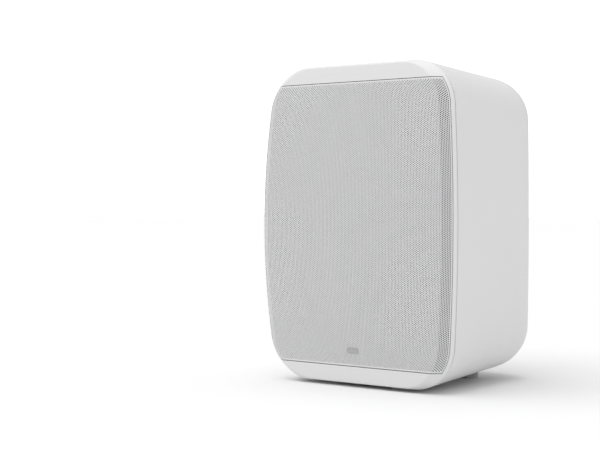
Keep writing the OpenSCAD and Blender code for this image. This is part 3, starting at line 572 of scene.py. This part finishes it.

# Colours set under this scene's light. The other slots keep the record's colour.
own_colour = {
    "cabinet": WHITE_PLASTIC,
    "grille_steel": SHEET_WHITE,
    "foot_rubber": FOOT_GREY,
    # painted shade in the seam's gap
    "gasket_grey": SEAM_SHADE_GREY,
    "black_screw": SCREW_BLACK,
}
recipes = {
    "cabinet": (moulded, dict(low=0.42, high=0.52, grain=1600, depth=0.00003, amount=0.02,
                              Specular_IOR_Level=0.45)),
    "grille_steel": (painted_sheet, {}),
    "badge": (metal, dict(low=0.25, high=0.4, stretch=(0.1, 1, 1))),
    "seal": (rubber, {}),
    "foot_rubber": (rubber, {}),
    "gasket_grey": (rubber, {}),
    "screw_steel": (metal, dict(low=0.25, high=0.4)),
    "black_screw": (metal, dict(low=0.35, high=0.5)),
    "bare_steel": (metal, dict(low=0.2, high=0.35, stretch=(1, 0.1, 1))),
    "basket": (painted_sheet, {}),
    "cone_paper": (cone_paper, {}),
    "copper": (wound, dict(pitch=0.35 * MM)),
    "spider_cloth": (woven, dict(pitch=0.7 * MM)),
    "ferrite": (speckled, {}),
    "faceplate": (moulded, dict(low=0.35, high=0.5, grain=1500, depth=0.00003)),
    "dome_silk": (woven, dict(pitch=0.4 * MM, sheen=0.1)),
    "panel_black": (moulded, dict(low=0.42, high=0.6, grain=1500, depth=0.00004, amount=0.2)),
    "knob_black": (moulded, dict(low=0.32, high=0.48, grain=2200, depth=0.00002, amount=0.2)),
    "switch_red": (moulded, dict(low=0.3, high=0.42, grain=2400, depth=0.00001, amount=0.1)),
    "lever_white": (moulded, dict(low=0.3, high=0.42, grain=2400, depth=0.00001)),
    "lever_dark": (moulded, dict(low=0.3, high=0.42, grain=2400, depth=0.00001, amount=0.2)),
    "led_red": (lens, {}),
    "gold_plate": (threaded, dict(low=0.18, high=0.32, pitch=0.706 * MM)),
    "antenna_rubber": (moulded, dict(low=0.25, high=0.4, grain=1900, depth=0.00002, amount=0.2)),
    "inlet_black": (moulded, dict(low=0.2, high=0.32, grain=2600, depth=0.00001, amount=0.2)),
    "fuse_glass": (fuse_tube, {}),
    "insert_dark": (threaded, dict(low=0.3, high=0.5)),
    "circuit_board": (circuit_board, {}),
    "transformer_tape": (taped, {}),
    "heat_sink_aluminium": (metal, dict(low=0.3, high=0.45, stretch=(1, 1, 0.06))),
    "capacitor_sleeve": (moulded, dict(low=0.2, high=0.35, grain=1200, depth=0.00001, amount=0.2)),
    "shield_can": (metal, dict(low=0.3, high=0.5, stretch=(1, 1, 0.1))),
    "wire_red": (moulded, dict(low=0.3, high=0.45, grain=1800, depth=0.00002, amount=0.1)),
    "wadding": (fibre_fill, {}),
}
materials = {}
for slot, (make, settings) in recipes.items():
    materials[slot] = make(slot, own_colour.get(slot) or slot_colour[slot], **settings)
for part in record["subparts"]:
    piece = nodes[part["node"]]
    piece.data.materials.clear()
    piece.data.materials.append(materials[part["material_slot"]])


def finished(piece, slot, body, *replaced, smooth_angle=40):
    """Gives a piece its finish, its body and the CAD nodes that it stands for."""
    piece.data.materials.clear()
    piece.data.materials.append(materials[slot])
    smooth(piece, smooth_angle)
    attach(piece, body)
    if replaced:
        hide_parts(*replaced)
    return piece


# ---- cabinet shell ---------------------------------------------------------------------------

PANEL_Y = depth_of(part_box("control_panel")[1].y)
PANEL_T = 2
RECESS_Z = (middle("control_panel").z - MID_Z) / MM
PANEL_FIT = 0.15
RECESS_HALF_W = (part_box("control_panel")[1].x + PANEL_FIT * MM) / MM
RECESS_HALF_H = (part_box("control_panel")[1].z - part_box("control_panel")[0].z) / MM / 2 + PANEL_FIT
RECESS_CORNER = 4.5
LEDGE_T = 2.5
LEDGE_W, LEDGE_RISE = 4, 3
TUB_WALL = 2.5
TUB_CORNER = 6
LEDGE_CORNER = 2.25
RECESS_LIP = 0.7
DISC_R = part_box("mount_disc")[1].x / MM
DISC_GAP = 0.4
DISC_DEPTH = 14
WELL_WALL = 3
DISC_WELL_LIP = 0.3
CAVITY_AHEAD = 6
POST_R = 4
POST_X = 50
POST_HEIGHTS = (8, 88)
POST_START = 96  # depth of the ends of the posts that carry the boards
SIDE_RINGS = 10
BACK_MID = BODY_D - BACK_DISH
CENTRE_STEPS = (0.9, 0.8, 0.7, 0.6, 0.5, 0.4, 0.3, 0.2, 0.1, 0.02)


def body_loft(name, inset, front, rear_steps=19):
    """Solid cabinet body set in by inset, from a first ring to its dished back."""
    end = BODY_D - inset
    radius = REAR_R - inset
    rings = [front]
    for depth in np.linspace(SEAM_Y + SEAM_GAP + EDGE_ROUND, end - radius, SIDE_RINGS):
        outline = body_outline(depth, inset)
        bend = crown_at(outline[:, 1]) * (1 - (depth - SEAM_Y) / (end - radius - SEAM_Y)) ** 2
        rings.append(at_depth(outline, depth + bend))
    for turn in np.radians(np.linspace(0, 90, rear_steps))[1:]:
        depth = end - radius + radius * math.sin(turn)
        outline = body_outline(depth, inset)
        rings.append(at_depth(outline, np.minimum(depth, back_at(outline[:, 1]) - inset)))
    last = body_outline(end, inset)
    rings += shrunk(last, CENTRE_STEPS, lambda z: back_at(z) - inset)
    return capped(name, rings)


def seam_ring(inset, depth):
    """Outline at the parting seam, bent back to follow the crown."""
    outline = body_outline(SEAM_Y, inset)
    return at_depth(outline, crown_at(outline[:, 1]) + depth)


def recess_outline(grow):
    """Mouth of a rear recess, grown by some millimetres."""
    return round_rect(RECESS_HALF_W + grow, RECESS_HALF_H + grow, RECESS_CORNER + grow)


def disc_well_outline(grow):
    """Mouth of the disc's well, grown by some millimetres."""
    return circle(DISC_R + DISC_GAP + grow, ROUND_STEPS)


def build_shell():
    """Hollow cabinet with a tub behind each recess, a well for the disc and posts for the boards."""
    start = SEAM_Y + SEAM_GAP
    past_back = BODY_D + CUT_PAST
    outer = body_loft("cabinet_body", 0, seam_ring(EDGE_ROUND, start))
    cavity = body_loft("cavity", WALL, seam_ring(WALL, start - CAVITY_AHEAD))
    tubs = []
    recess = []
    for side in (-1, 1):
        centre = np.array([0, side * RECESS_Z])
        tub_outline = round_rect(RECESS_HALF_W + TUB_WALL, RECESS_HALF_H + TUB_WALL, TUB_CORNER) + centre
        tubs.append(capped("tub", [at_depth(tub_outline, PANEL_Y - PANEL_T - LEDGE_T),
                                   at_depth(tub_outline, past_back)]))
        floor_outline = round_rect(RECESS_HALF_W - LEDGE_W, RECESS_HALF_H - LEDGE_RISE, LEDGE_CORNER)
        recess.append(capped("floor", [at_depth(floor_outline + centre, PANEL_Y - PANEL_T - 3 * LEDGE_T),
                                       at_depth(floor_outline + centre, PANEL_Y)]))
        recess.append(lipped_cutter("recess", recess_outline, centre, PANEL_Y - PANEL_T, RECESS_LIP,
                                    back_at))
    well_floor = BACK_MID - DISC_DEPTH
    tubs.append(post("well", DISC_R + WELL_WALL, (0, 0), well_floor - WELL_WALL, past_back, ROUND_STEPS))
    well = lipped_cutter("well", disc_well_outline, (0, 0), well_floor, DISC_WELL_LIP, back_at)
    for x in (-1, 1):
        for z in (-1, 1):
            for height in POST_HEIGHTS:
                tubs.append(post("board_post", POST_R, (x * POST_X, z * height), POST_START, past_back, 24))
    combine(cavity, tubs)
    return combine(outer, [cavity, well] + recess)


finished(build_shell(), "cabinet", "cabinet", "cabinet_shell")

# ---- front baffle ----------------------------------------------------------------------------

BOARD_Y = 16
BOARD_BACK = depth_of(baffle_high.y)
WELL_EDGE_X = 5
WELL_EDGE_Z = 7
WELL_HALF_W = BODY_W / 2 - BEVEL_W - WELL_EDGE_X
WELL_HALF_H = GRILLE_H / 2 - WELL_EDGE_Z
WELL_CORNER = 20
OPENING_R = 61
TWEETER_OPENING_R = 21
FOLD_ROUND = 1.3
FOLD_STEP = 0.96
SPIGOT_GAP = 0.3
SPIGOT_OVERLAP = 2
POCKET_REACH = 20
MAGNET_R = 2.5
SHEET_SIDE_POINTS = 161
SHEET_TOP_POINTS = 121
FACES_BACK = 0.5


def curve_between(start, corner, end, steps=4):
    """Rings that run from start to end and round off the corner ring."""
    return [(1 - t) ** 2 * start + 2 * t * (1 - t) * corner + t * t * end
            for t in np.linspace(0, 1, steps + 1)]


def towards(ring, other, distance):
    """Each point of ring moved a distance towards the same point of the other."""
    step = other - ring
    return ring + step * distance / np.linalg.norm(step, axis=1)[:, None]


def front_rings(shift=0.0):
    """Rings of the front, from its middle over the fold and down the bevel, moved back by shift."""
    fold = at_depth(fold_outline, crown_at(fold_outline[:, 1]) + shift)
    edge = at_depth(edge_outline, crown_at(edge_outline[:, 1]) + BEVEL_D + shift)
    inner = fold_outline * (1 - FOLD_ROUND / np.linalg.norm(fold_outline, axis=1))[:, None]
    inner = at_depth(inner, crown_at(inner[:, 1]) + shift)
    rings = shrunk(fold_outline, CENTRE_STEPS[::-1] + (FOLD_STEP,), lambda z: crown_at(z) + shift)
    rings += curve_between(inner, fold, towards(fold, edge, FOLD_ROUND))
    rings += curve_between(towards(edge, fold, EDGE_ROUND), edge, edge + [0, EDGE_ROUND, 0])
    return rings


def front_piece(name, back, shift=0.0):
    """Closed front whose back follows the crown at a depth behind it."""
    rings = front_rings(shift)
    back_depth = crown_at(edge_outline[:, 1]) + back
    rings.append(at_depth(edge_outline, back_depth - EDGE_ROUND))
    inner = edge_outline * (1 - EDGE_ROUND / np.linalg.norm(edge_outline, axis=1))[:, None]
    rings.append(at_depth(inner, back_depth))
    rings += shrunk(inner, CENTRE_STEPS, lambda z: crown_at(z) + back)
    return capped(name, rings)


def sheet_path(inset):
    """Outline of the grille sheet, smaller by inset, with close points all round."""
    top = GRILLE_H / 2 - inset
    z = np.linspace(-top, top, SHEET_SIDE_POINTS)
    x = half_width(edge_outline, z) - RIM_W - inset
    across = np.linspace(x[-1], -x[-1], SHEET_TOP_POINTS)[1:-1]
    right = np.column_stack([x, z])
    over = np.column_stack([across, np.full(len(across), top)])
    return np.vstack([right, over, right[::-1] * [-1, 1], over[::-1] * [1, -1]])


def build_baffle():
    """Front with its spigot, the grille's pocket, the drivers' well and openings, and magnet holes."""
    front = front_piece("baffle_front", SEAM_Y)
    spigot_outline = body_outline(BOARD_BACK, WALL + SPIGOT_GAP)
    spigot_front = crown_at(spigot_outline[:, 1]) + SEAM_Y - SPIGOT_OVERLAP
    spigot = capped("spigot", [at_depth(spigot_outline, spigot_front),
                               at_depth(spigot_outline, BOARD_BACK)])
    combine(front, [spigot], "UNION")
    pocket_outline = sheet_path(-GRILLE_GAP)
    pocket = capped("pocket", [at_depth(pocket_outline, -POCKET_REACH),
                               at_depth(pocket_outline, POCKET_REACH)])
    combine(pocket, [front_piece("pocket_floor", 3 * POCKET_REACH, shift=GRILLE_FLOOR)])
    well_outline = round_rect(WELL_HALF_W, WELL_HALF_H, WELL_CORNER, 12)
    tools = [pocket, capped("well", [at_depth(well_outline, -1), at_depth(well_outline, BOARD_Y)])]
    for node, radius in (("woofer_basket", OPENING_R), ("tweeter_faceplate", TWEETER_OPENING_R)):
        centre = (0, (middle(node).z - MID_Z) / MM)
        tools.append(post("driver_opening", radius, centre, BOARD_Y - 2, BOARD_BACK + 1, ROUND_STEPS))
    magnet_z = (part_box("grille_magnets")[1].z - MID_Z) / MM - MAGNET_R
    magnet_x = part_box("grille_magnets")[1].x / MM - MAGNET_R
    magnet_end = depth_of(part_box("grille_magnets")[1].y)
    for x in (-1, 0, 1):
        for z in (-1, 1):
            tools.append(post("magnet_hole", MAGNET_R, (x * magnet_x, z * magnet_z), -1, magnet_end, 32))
    return combine(front, tools)


def blacken_lining_and_gap_shade(piece):
    """Blackens what shows behind the grille: the well and the pocket's floor as a matt black lining, and
    the pocket's walls as painted shade in the gap round the grille's edge.
    """
    piece.data.materials.append(materials["faceplate"])
    for polygon in piece.data.polygons:
        x, depth, z = (np.array(polygon.center) - [0, FRONT_Y, MID_Z]) / MM
        behind_grille = abs(x) < half_width(edge_outline, z) - RIM_W + GRILLE_GAP
        behind_grille = behind_grille and abs(z) < GRILLE_H / 2 + GRILLE_GAP
        face = crown_at(z) + BEVEL_D * max(0, (abs(x) - half_width(fold_outline, z)) / BEVEL_W)
        # The pocket's walls take the black as painted shade in the gap; the floor and the well take it as a
        # black lining.
        if behind_grille and polygon.normal.y < FACES_BACK and depth > face + EDGE_ROUND:
            polygon.material_index = 1


baffle = finished(build_baffle(), "cabinet", "cabinet", "front_baffle", smooth_angle=35)
blacken_lining_and_gap_shade(baffle)

# ---- grille ----------------------------------------------------------------------------------

SHEET_T = 1.0
HOLE_PITCH = 1.5
HOLE_R = 0.5
COLUMN_PITCH = HOLE_PITCH * math.sqrt(3) / 2
FOLD_COLUMN = round(half_width(fold_outline, 0) / COLUMN_PITCH)
BORDER = 0.4
HOLE_MARGIN = BORDER + HOLE_R
WING_COLUMNS = 6
BANDS = 6
HOLE_SIDES = 8
HAIR = 0.01  # too small to see
BORDER_EASE = 0.2
BORDER_PROUD = 0.02  # how far the border stands past the sheet, front and back


def front_depth(x, z, soft=0.25):
    """Depth of the front face and its bevels, with the fold softened over a short way."""
    fold = half_width(fold_outline, z)
    edge = half_width(edge_outline, z)
    past = np.abs(x) - fold
    eased = np.where(past > soft, past, np.clip(past + soft, 0, None) ** 2 / (4 * soft))
    return crown_at(z) + BEVEL_D * eased / (edge - fold)


def sheet_half(z, inset):
    """Half width of the sheet at heights z, smaller by inset."""
    return half_width(edge_outline, z) - RIM_W - GRILLE_GAP / 2 - inset


def laid(u, z):
    """Where a point of the flat hole pattern lies across the front.

    A column of holes runs along each fold, and the last column along the sheet's edge."""
    fold = half_width(fold_outline, z)
    fold_u = FOLD_COLUMN * COLUMN_PITCH
    past = np.clip(np.abs(u) - fold_u, 0, None) / (WING_COLUMNS * COLUMN_PITCH)
    wing = sheet_half(z, HOLE_MARGIN + HAIR) - fold
    return np.sign(u) * (np.minimum(np.abs(u), fold_u) * fold / fold_u + past * wing)


def square_to_sheet(x, z):
    """How far towards the middle a hole's back edge lies.

    So the holes in the wings stay square to them."""
    fold = half_width(fold_outline, z)
    slope = BEVEL_D / (half_width(edge_outline, z) - fold)
    on_wing = np.clip((np.abs(x) - fold) / HOLE_PITCH + 0.5, 0, 1)
    return on_wing * SHEET_T * slope / (1 + slope ** 2)


def pattern_cells():
    """Middles of the staggered cells, column by column, and whether each has room for its hole."""
    columns = FOLD_COLUMN + WING_COLUMNS + 1
    rows = int(GRILLE_H / 2 / HOLE_PITCH) + 1
    top = GRILLE_H / 2 - GRILLE_GAP / 2
    middles, holed = [], []
    for column in range(-columns, columns + 1):
        z = np.arange(-rows, rows + 1) * HOLE_PITCH + HOLE_PITCH / 2 * (column % 2)
        x = np.abs(laid(column * COLUMN_PITCH, z))
        near = (x < sheet_half(z, -HOLE_PITCH)) & (np.abs(z) < top + HOLE_PITCH / 2)
        middles.append(np.column_stack([np.full(len(z), column * COLUMN_PITCH), z])[near])
        holed.append(((x < sheet_half(z, HOLE_MARGIN)) & (np.abs(z) < top - HOLE_MARGIN))[near])
    return np.vstack(middles), np.concatenate(holed)


def around(radius, degrees):
    """Points about the origin from their distances and directions."""
    turn = np.radians(degrees)
    return radius[:, None] * np.column_stack([np.cos(turn), np.sin(turn)])


def cell_points(middles):
    """Corners of each cell on the flat pattern: its hexagon first, and then its hole."""
    turns = np.array([0, 60, 90, 120, 180, 240, 270, 300])
    reach = np.where(turns % 180 == 90, HOLE_PITCH / 2, HOLE_PITCH / math.sqrt(3))
    hexagon = around(reach, turns)
    hole = around(np.full(HOLE_SIDES, HOLE_R), np.arange(HOLE_SIDES) * 360 / HOLE_SIDES)
    return (middles[:, None, :] + np.vstack([hexagon, hole])[None]).reshape(-1, 2)


def merged_points(x, z, tolerance=0.002):
    """Points without their copies, and which of them each given point became."""
    keys = np.round(np.column_stack([x, z]) / tolerance).astype(int)
    _, first, merged = np.unique(keys, axis=0, return_index=True, return_inverse=True)
    return x[first], z[first], merged.ravel()


def cell_faces(x, z, merged, holed):
    """Quads between each hexagon and its hole, and whole hexagons where there is no hole."""
    starts = np.arange(len(holed)) * 2 * HOLE_SIDES
    k = np.arange(HOLE_SIDES)
    after = (k + 1) % HOLE_SIDES
    ring = np.column_stack([k, after, after + HOLE_SIDES, k + HOLE_SIDES])
    rings = merged[(starts[holed][:, None, None] + ring[None]).reshape(-1, 4)]
    plain = [list(dict.fromkeys(merged[start:start + HOLE_SIDES].tolist())) for start in starts[~holed]]
    return rings.tolist() + [face for face in plain
                             if len(face) > 2 and face_area(x[face], z[face]) > HAIR]


def build_band(name, middles, holed):
    """One band of the sheet: a hexagon round each middle, most with a hole, closed by a back and walls."""
    flat = cell_points(middles)
    z = np.clip(flat[:, 1], -GRILLE_H / 2 + GRILLE_GAP, GRILLE_H / 2 - GRILLE_GAP)
    limit = sheet_half(z, GRILLE_GAP / 2)
    x, z, merged = merged_points(np.clip(laid(flat[:, 0], z), -limit, limit), z)
    front = cell_faces(x, z, merged, holed)
    edges = np.array([(face[i], face[(i + 1) % len(face)]) for face in front for i in range(len(face))])
    count = len(x)
    open_edges = edges[~np.isin(edges[:, 0] * count + edges[:, 1], edges[:, 1] * count + edges[:, 0])]
    start, end = open_edges.T
    walls = np.column_stack([end, start, start + count, end + count])
    back = [[i + count for i in reversed(face)] for face in front]
    back_x = x - np.sign(x) * square_to_sheet(x, z)
    points = np.vstack([np.column_stack([x, front_depth(x, z), z]),
                        np.column_stack([back_x, front_depth(back_x, z) + SHEET_T, z])])
    faces = front + back + walls.tolist()
    used = np.unique(np.concatenate([np.array(face) for face in faces]))
    renumber = np.zeros(len(points), int)
    renumber[used] = np.arange(len(used))
    return add_mesh(name, row_points(points[used]), [renumber[face] for face in faces], None)


def face_area(x, z):
    """Area of a flat face from its corners."""
    return abs(np.dot(x, np.roll(z, -1)) - np.dot(z, np.roll(x, -1))) / 2


def build_border():
    """Plain edge of the sheet, with its outer corner rounded over."""
    outer = sheet_path(GRILLE_GAP / 2)
    eased = sheet_path(GRILLE_GAP / 2 + BORDER_EASE)
    inner = sheet_path(BORDER)
    back = SHEET_T + BORDER_PROUD
    section = ((outer, BORDER_EASE + BORDER_PROUD), (eased, -BORDER_PROUD), (inner, -BORDER_PROUD),
               (inner, back), (outer, back))
    rings = [at_depth(path, front_depth(path[:, 0], path[:, 1]) + behind) for path, behind in section]
    return add_mesh("grille_border", row_points(np.vstack(rings)),
                    ring_faces(len(rings), len(outer), closed_rows=True), smooth_angle=None)


border = build_border()
outward(border)
finished(border, "grille_steel", "grille_panel", "grille", smooth_angle=25)
cell_middles, cell_holed = pattern_cells()
band_ends = np.linspace(-GRILLE_H / 2, GRILLE_H / 2, BANDS + 1)[1:-1]
band_of = np.searchsorted(band_ends, cell_middles[:, 1])
for band in range(BANDS):
    share = band_of == band
    finished(build_band(f"grille_sheet_{band + 1}", cell_middles[share], cell_holed[share]),
             "grille_steel", "grille_panel", "grille", smooth_angle=20)


def build_badge():
    """Plain pill with a flat face and a fine groove inside its edge."""
    centre = np.array([0, (middle("grille_badge").z - MID_Z) / MM])
    front = depth_of(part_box("grille_badge")[0].y)
    half_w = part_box("grille_badge")[1].x / MM
    half_h = (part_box("grille_badge")[1].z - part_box("grille_badge")[0].z) / MM / 2
    thick, ease, ease_middle, crown = 1.4, 0.25, 0.08, 1.2
    groove_start, groove_end, groove_slope, groove_depth = 0.5, 0.85, 0.1, 0.12
    profile = ((0, thick), (0, ease), (ease_middle, ease_middle), (ease, 0), (groove_start, 0),
               (groove_start + groove_slope, groove_depth), (groove_end - groove_slope, groove_depth),
               (groove_end, 0), (crown, 0))
    rings = []
    for inset, depth in profile:
        pill = round_rect(half_w - inset, half_h - inset, half_h - inset - 0.05)
        rings.append(at_depth(pill + centre, front + depth))
    return capped("badge_pill", rings)


finished(build_badge(), "badge", "grille_panel", "grille_badge")

# ---- rear disc -------------------------------------------------------------------------------

DISC_EDGE = 0.3
BRACKET_HOLE_R = 4.15
BRACKET_TURNS = (90, 210, 330)
DISC_HOLE_LIP = 0.35
DISC_HOLE_STEPS = 48


def half_across(node):
    """Half of a node's width, in millimetres."""
    low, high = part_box(node)
    return (high.x - low.x) / MM / 2


def disc_holes():
    """Radius and middle of the hole over each insert."""
    holes = [(half_across("stand_insert"), (0, 0)),
             (half_across("tripod_insert"), (0, (middle("tripod_insert").z - MID_Z) / MM))]
    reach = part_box("bracket_inserts")[1].z / MM - MID_Z / MM - BRACKET_HOLE_R
    for turn in map(math.radians, BRACKET_TURNS):
        holes.append((BRACKET_HOLE_R, (reach * math.cos(turn), reach * math.sin(turn))))
    return holes


def build_disc():
    """Disc with a rounded rim and an eased hole over each insert."""
    start = depth_of(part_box("mount_disc")[0].y)
    end = depth_of(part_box("mount_disc")[1].y)
    corner = DISC_EDGE * 0.3
    section = ((0, start), (0, end - DISC_EDGE), (corner, end - corner), (DISC_EDGE, end))
    disc = capped("rear_disc", [at_depth(circle(DISC_R - inset, ROUND_STEPS), depth)
                                for inset, depth in section])
    tools = []
    for radius, centre in disc_holes():
        tools.append(lipped_cutter(
            "hole", lambda grow, r=radius: circle(r + grow, DISC_HOLE_STEPS), np.array(centre),
            start - 1, DISC_HOLE_LIP, lambda z: np.full(np.shape(z), end)))
    return combine(disc, tools)


finished(build_disc(), "cabinet", "cabinet", "mount_disc")

# ---- printed scale on the upper panel --------------------------------------------------------

MARK_PROUD = 0.04
MARK_SUNK = 0.1
SCALE_START, SCALE_END = -60, -240
SCALE_STEPS = 40
SCALE_INNER_R = 10.2
SCALE_THIN_R, SCALE_WIDE_R = 10.5, 11.6
TICK_START_R, TICK_END_R = 12.1, 13.1
TICK_HALF_W = 0.15
TICKS = 7


def flat_mark(name, outlines, slot):
    """Thin printed shapes standing a hair proud of the upper panel."""
    points, faces = [], []
    for outline in outlines:
        base = len(points)
        count = len(outline)
        points += at_depth(outline, PANEL_Y + MARK_PROUD).tolist()
        points += at_depth(outline, PANEL_Y - MARK_SUNK).tolist()
        faces.append(tuple(range(base, base + count)))
        faces.append(tuple(range(base + 2 * count - 1, base + count - 1, -1)))
        faces += [(base + k, base + count + k, base + count + (k + 1) % count, base + (k + 1) % count)
                  for k in range(count)]
    return finished(add_mesh(name, row_points(points), faces, None), slot, "cabinet")


def scale_outlines():
    """An arc part of the way round the knob, wider at one end, with a row of ticks outside it."""
    centre = np.array([middle("volume_knob").x / MM, (middle("volume_knob").z - MID_Z) / MM])
    turns = np.radians(np.linspace(SCALE_START, SCALE_END, SCALE_STEPS))
    far = np.linspace(SCALE_THIN_R, SCALE_WIDE_R, SCALE_STEPS)
    ray = np.column_stack([np.cos(turns), np.sin(turns)])
    outlines = [np.vstack([ray * SCALE_INNER_R, (ray * far[:, None])[::-1]]) + centre]
    for turn in np.radians(np.linspace(SCALE_START, SCALE_END, TICKS)):
        along = np.array([math.cos(turn), math.sin(turn)])
        side = np.array([-along[1], along[0]]) * TICK_HALF_W
        start, end = along * TICK_START_R, along * TICK_END_R
        outlines.append(np.array([start - side, end - side, end + side, start + side]) + centre)
    return outlines


flat_mark("knob_scale", scale_outlines(), "lever_white")

# ---- damping wadding -------------------------------------------------------------------------

WAVES = 40
WAVE_NUMBER = 90  # radians per metre
BOXINESS = 0.45
FILLED = 0.95
SWELL = 0.12


def build_wadding(rows=60, columns=90):
    """Soft block of fibre: a rounded box whose surface swells and dips."""
    low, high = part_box("damping_wadding")
    centre, half = (low + high) / 2, (high - low) / 2
    rng = np.random.default_rng(7)
    waves = rng.normal(size=(WAVES, 3)) * WAVE_NUMBER
    phases = rng.uniform(0, 2 * math.pi, WAVES)
    points, faces = [], []
    for row in range(rows + 1):
        tilt = math.pi * (row / rows - 0.5)
        for column in range(columns):
            turn = 2 * math.pi * column / columns
            level = math.cos(tilt)
            unit = np.array([level * math.cos(turn), level * math.sin(turn), math.sin(tilt)])
            boxed = np.sign(unit) * np.abs(unit) ** BOXINESS
            swell = np.cos(waves @ (boxed * half) + phases).sum() / WAVES
            points.append(np.array(centre) + boxed * np.array(half) * (FILLED + SWELL * swell))
    for row in range(rows):
        for column in range(columns):
            here, there = row * columns, (row + 1) * columns
            after = (column + 1) % columns
            faces.append((here + column, here + after, there + after, there + column))
    points = np.clip(points, np.array(low), np.array(high))
    return add_mesh("wadding_block", points, faces, None)


wadding = finished(build_wadding(), "wadding", "cabinet", "damping_wadding", smooth_angle=60)

# ---- floor, light and camera, in metres ------------------------------------------------------

FLOOR_REACH = 8.0
CAMERA_LENS = 85.7
CAMERA_SENSOR = 36
CAMERA_PLACE = (0.6443, -0.9302, 0.1418)
CAMERA_DROP = 0.0191
CAMERA_AZIMUTH = math.radians(39.43)


def build_floor():
    """Pale flat floor, far wider than the view."""
    finish = Finish("studio_floor", (0.9, 0.9, 0.9), roughness=0.6)
    finish.mottle(scale=2, amount=0.01)
    finish.gloss(scale=3, low=0.55, high=0.65)
    finish.bump(finish.noise(scale=300, detail=2.0), depth=0.00001)
    corners = [(x * FLOOR_REACH, y * FLOOR_REACH, 0) for x, y in ((-1, -1), (1, -1), (1, 1), (-1, 1))]
    floor = add_mesh("floor", corners, [(0, 1, 2, 3)], None)
    floor.data.materials.append(finish.done(Specular_IOR_Level=0.1))


def build_world(seen, shed):
    """White backdrop for the camera, and a softer sky for everything that it lights."""
    world = bpy.data.worlds.new("studio")
    world.use_nodes = True
    tree = world.node_tree
    sky = tree.nodes["Background"]
    path = tree.nodes.new("ShaderNodeLightPath")
    strength = tree.nodes.new("ShaderNodeMapRange")
    strength.inputs["To Min"].default_value = shed
    strength.inputs["To Max"].default_value = seen
    tree.links.new(path.outputs["Is Camera Ray"], strength.inputs["Value"])
    tree.links.new(strength.outputs["Result"], sky.inputs["Strength"])
    sky.inputs["Color"].default_value = (1, 1, 1, 1)
    bpy.context.scene.world = world


def add_sun(name, direction, spread, power):
    """Even light from far away, as soft as a wide softbox."""
    data = bpy.data.lights.new(name, "SUN")
    data.energy = power
    data.angle = math.radians(spread)
    light = bpy.data.objects.new(name, data)
    light.rotation_euler = Vector(direction).to_track_quat("-Z", "Y").to_euler()
    bpy.context.scene.collection.objects.link(light)


build_floor()
build_world(seen=1.3, shed=0.55)
add_sun("overhead", direction=(0.2, 0.22, -1), spread=75, power=1.95)
add_sun("side_fill", direction=(-0.8, -0.6, -0.35), spread=60, power=0.18)
bpy.context.scene.view_settings.view_transform = "Standard"

camera_data = bpy.data.cameras.new("camera")
camera_data.lens = CAMERA_LENS
camera_data.sensor_width = CAMERA_SENSOR
camera = bpy.data.objects.new("camera", camera_data)
camera.location = CAMERA_PLACE
camera.rotation_euler = (math.pi / 2 - CAMERA_DROP, 0, CAMERA_AZIMUTH)
bpy.context.scene.collection.objects.link(camera)
bpy.context.scene.camera = camera
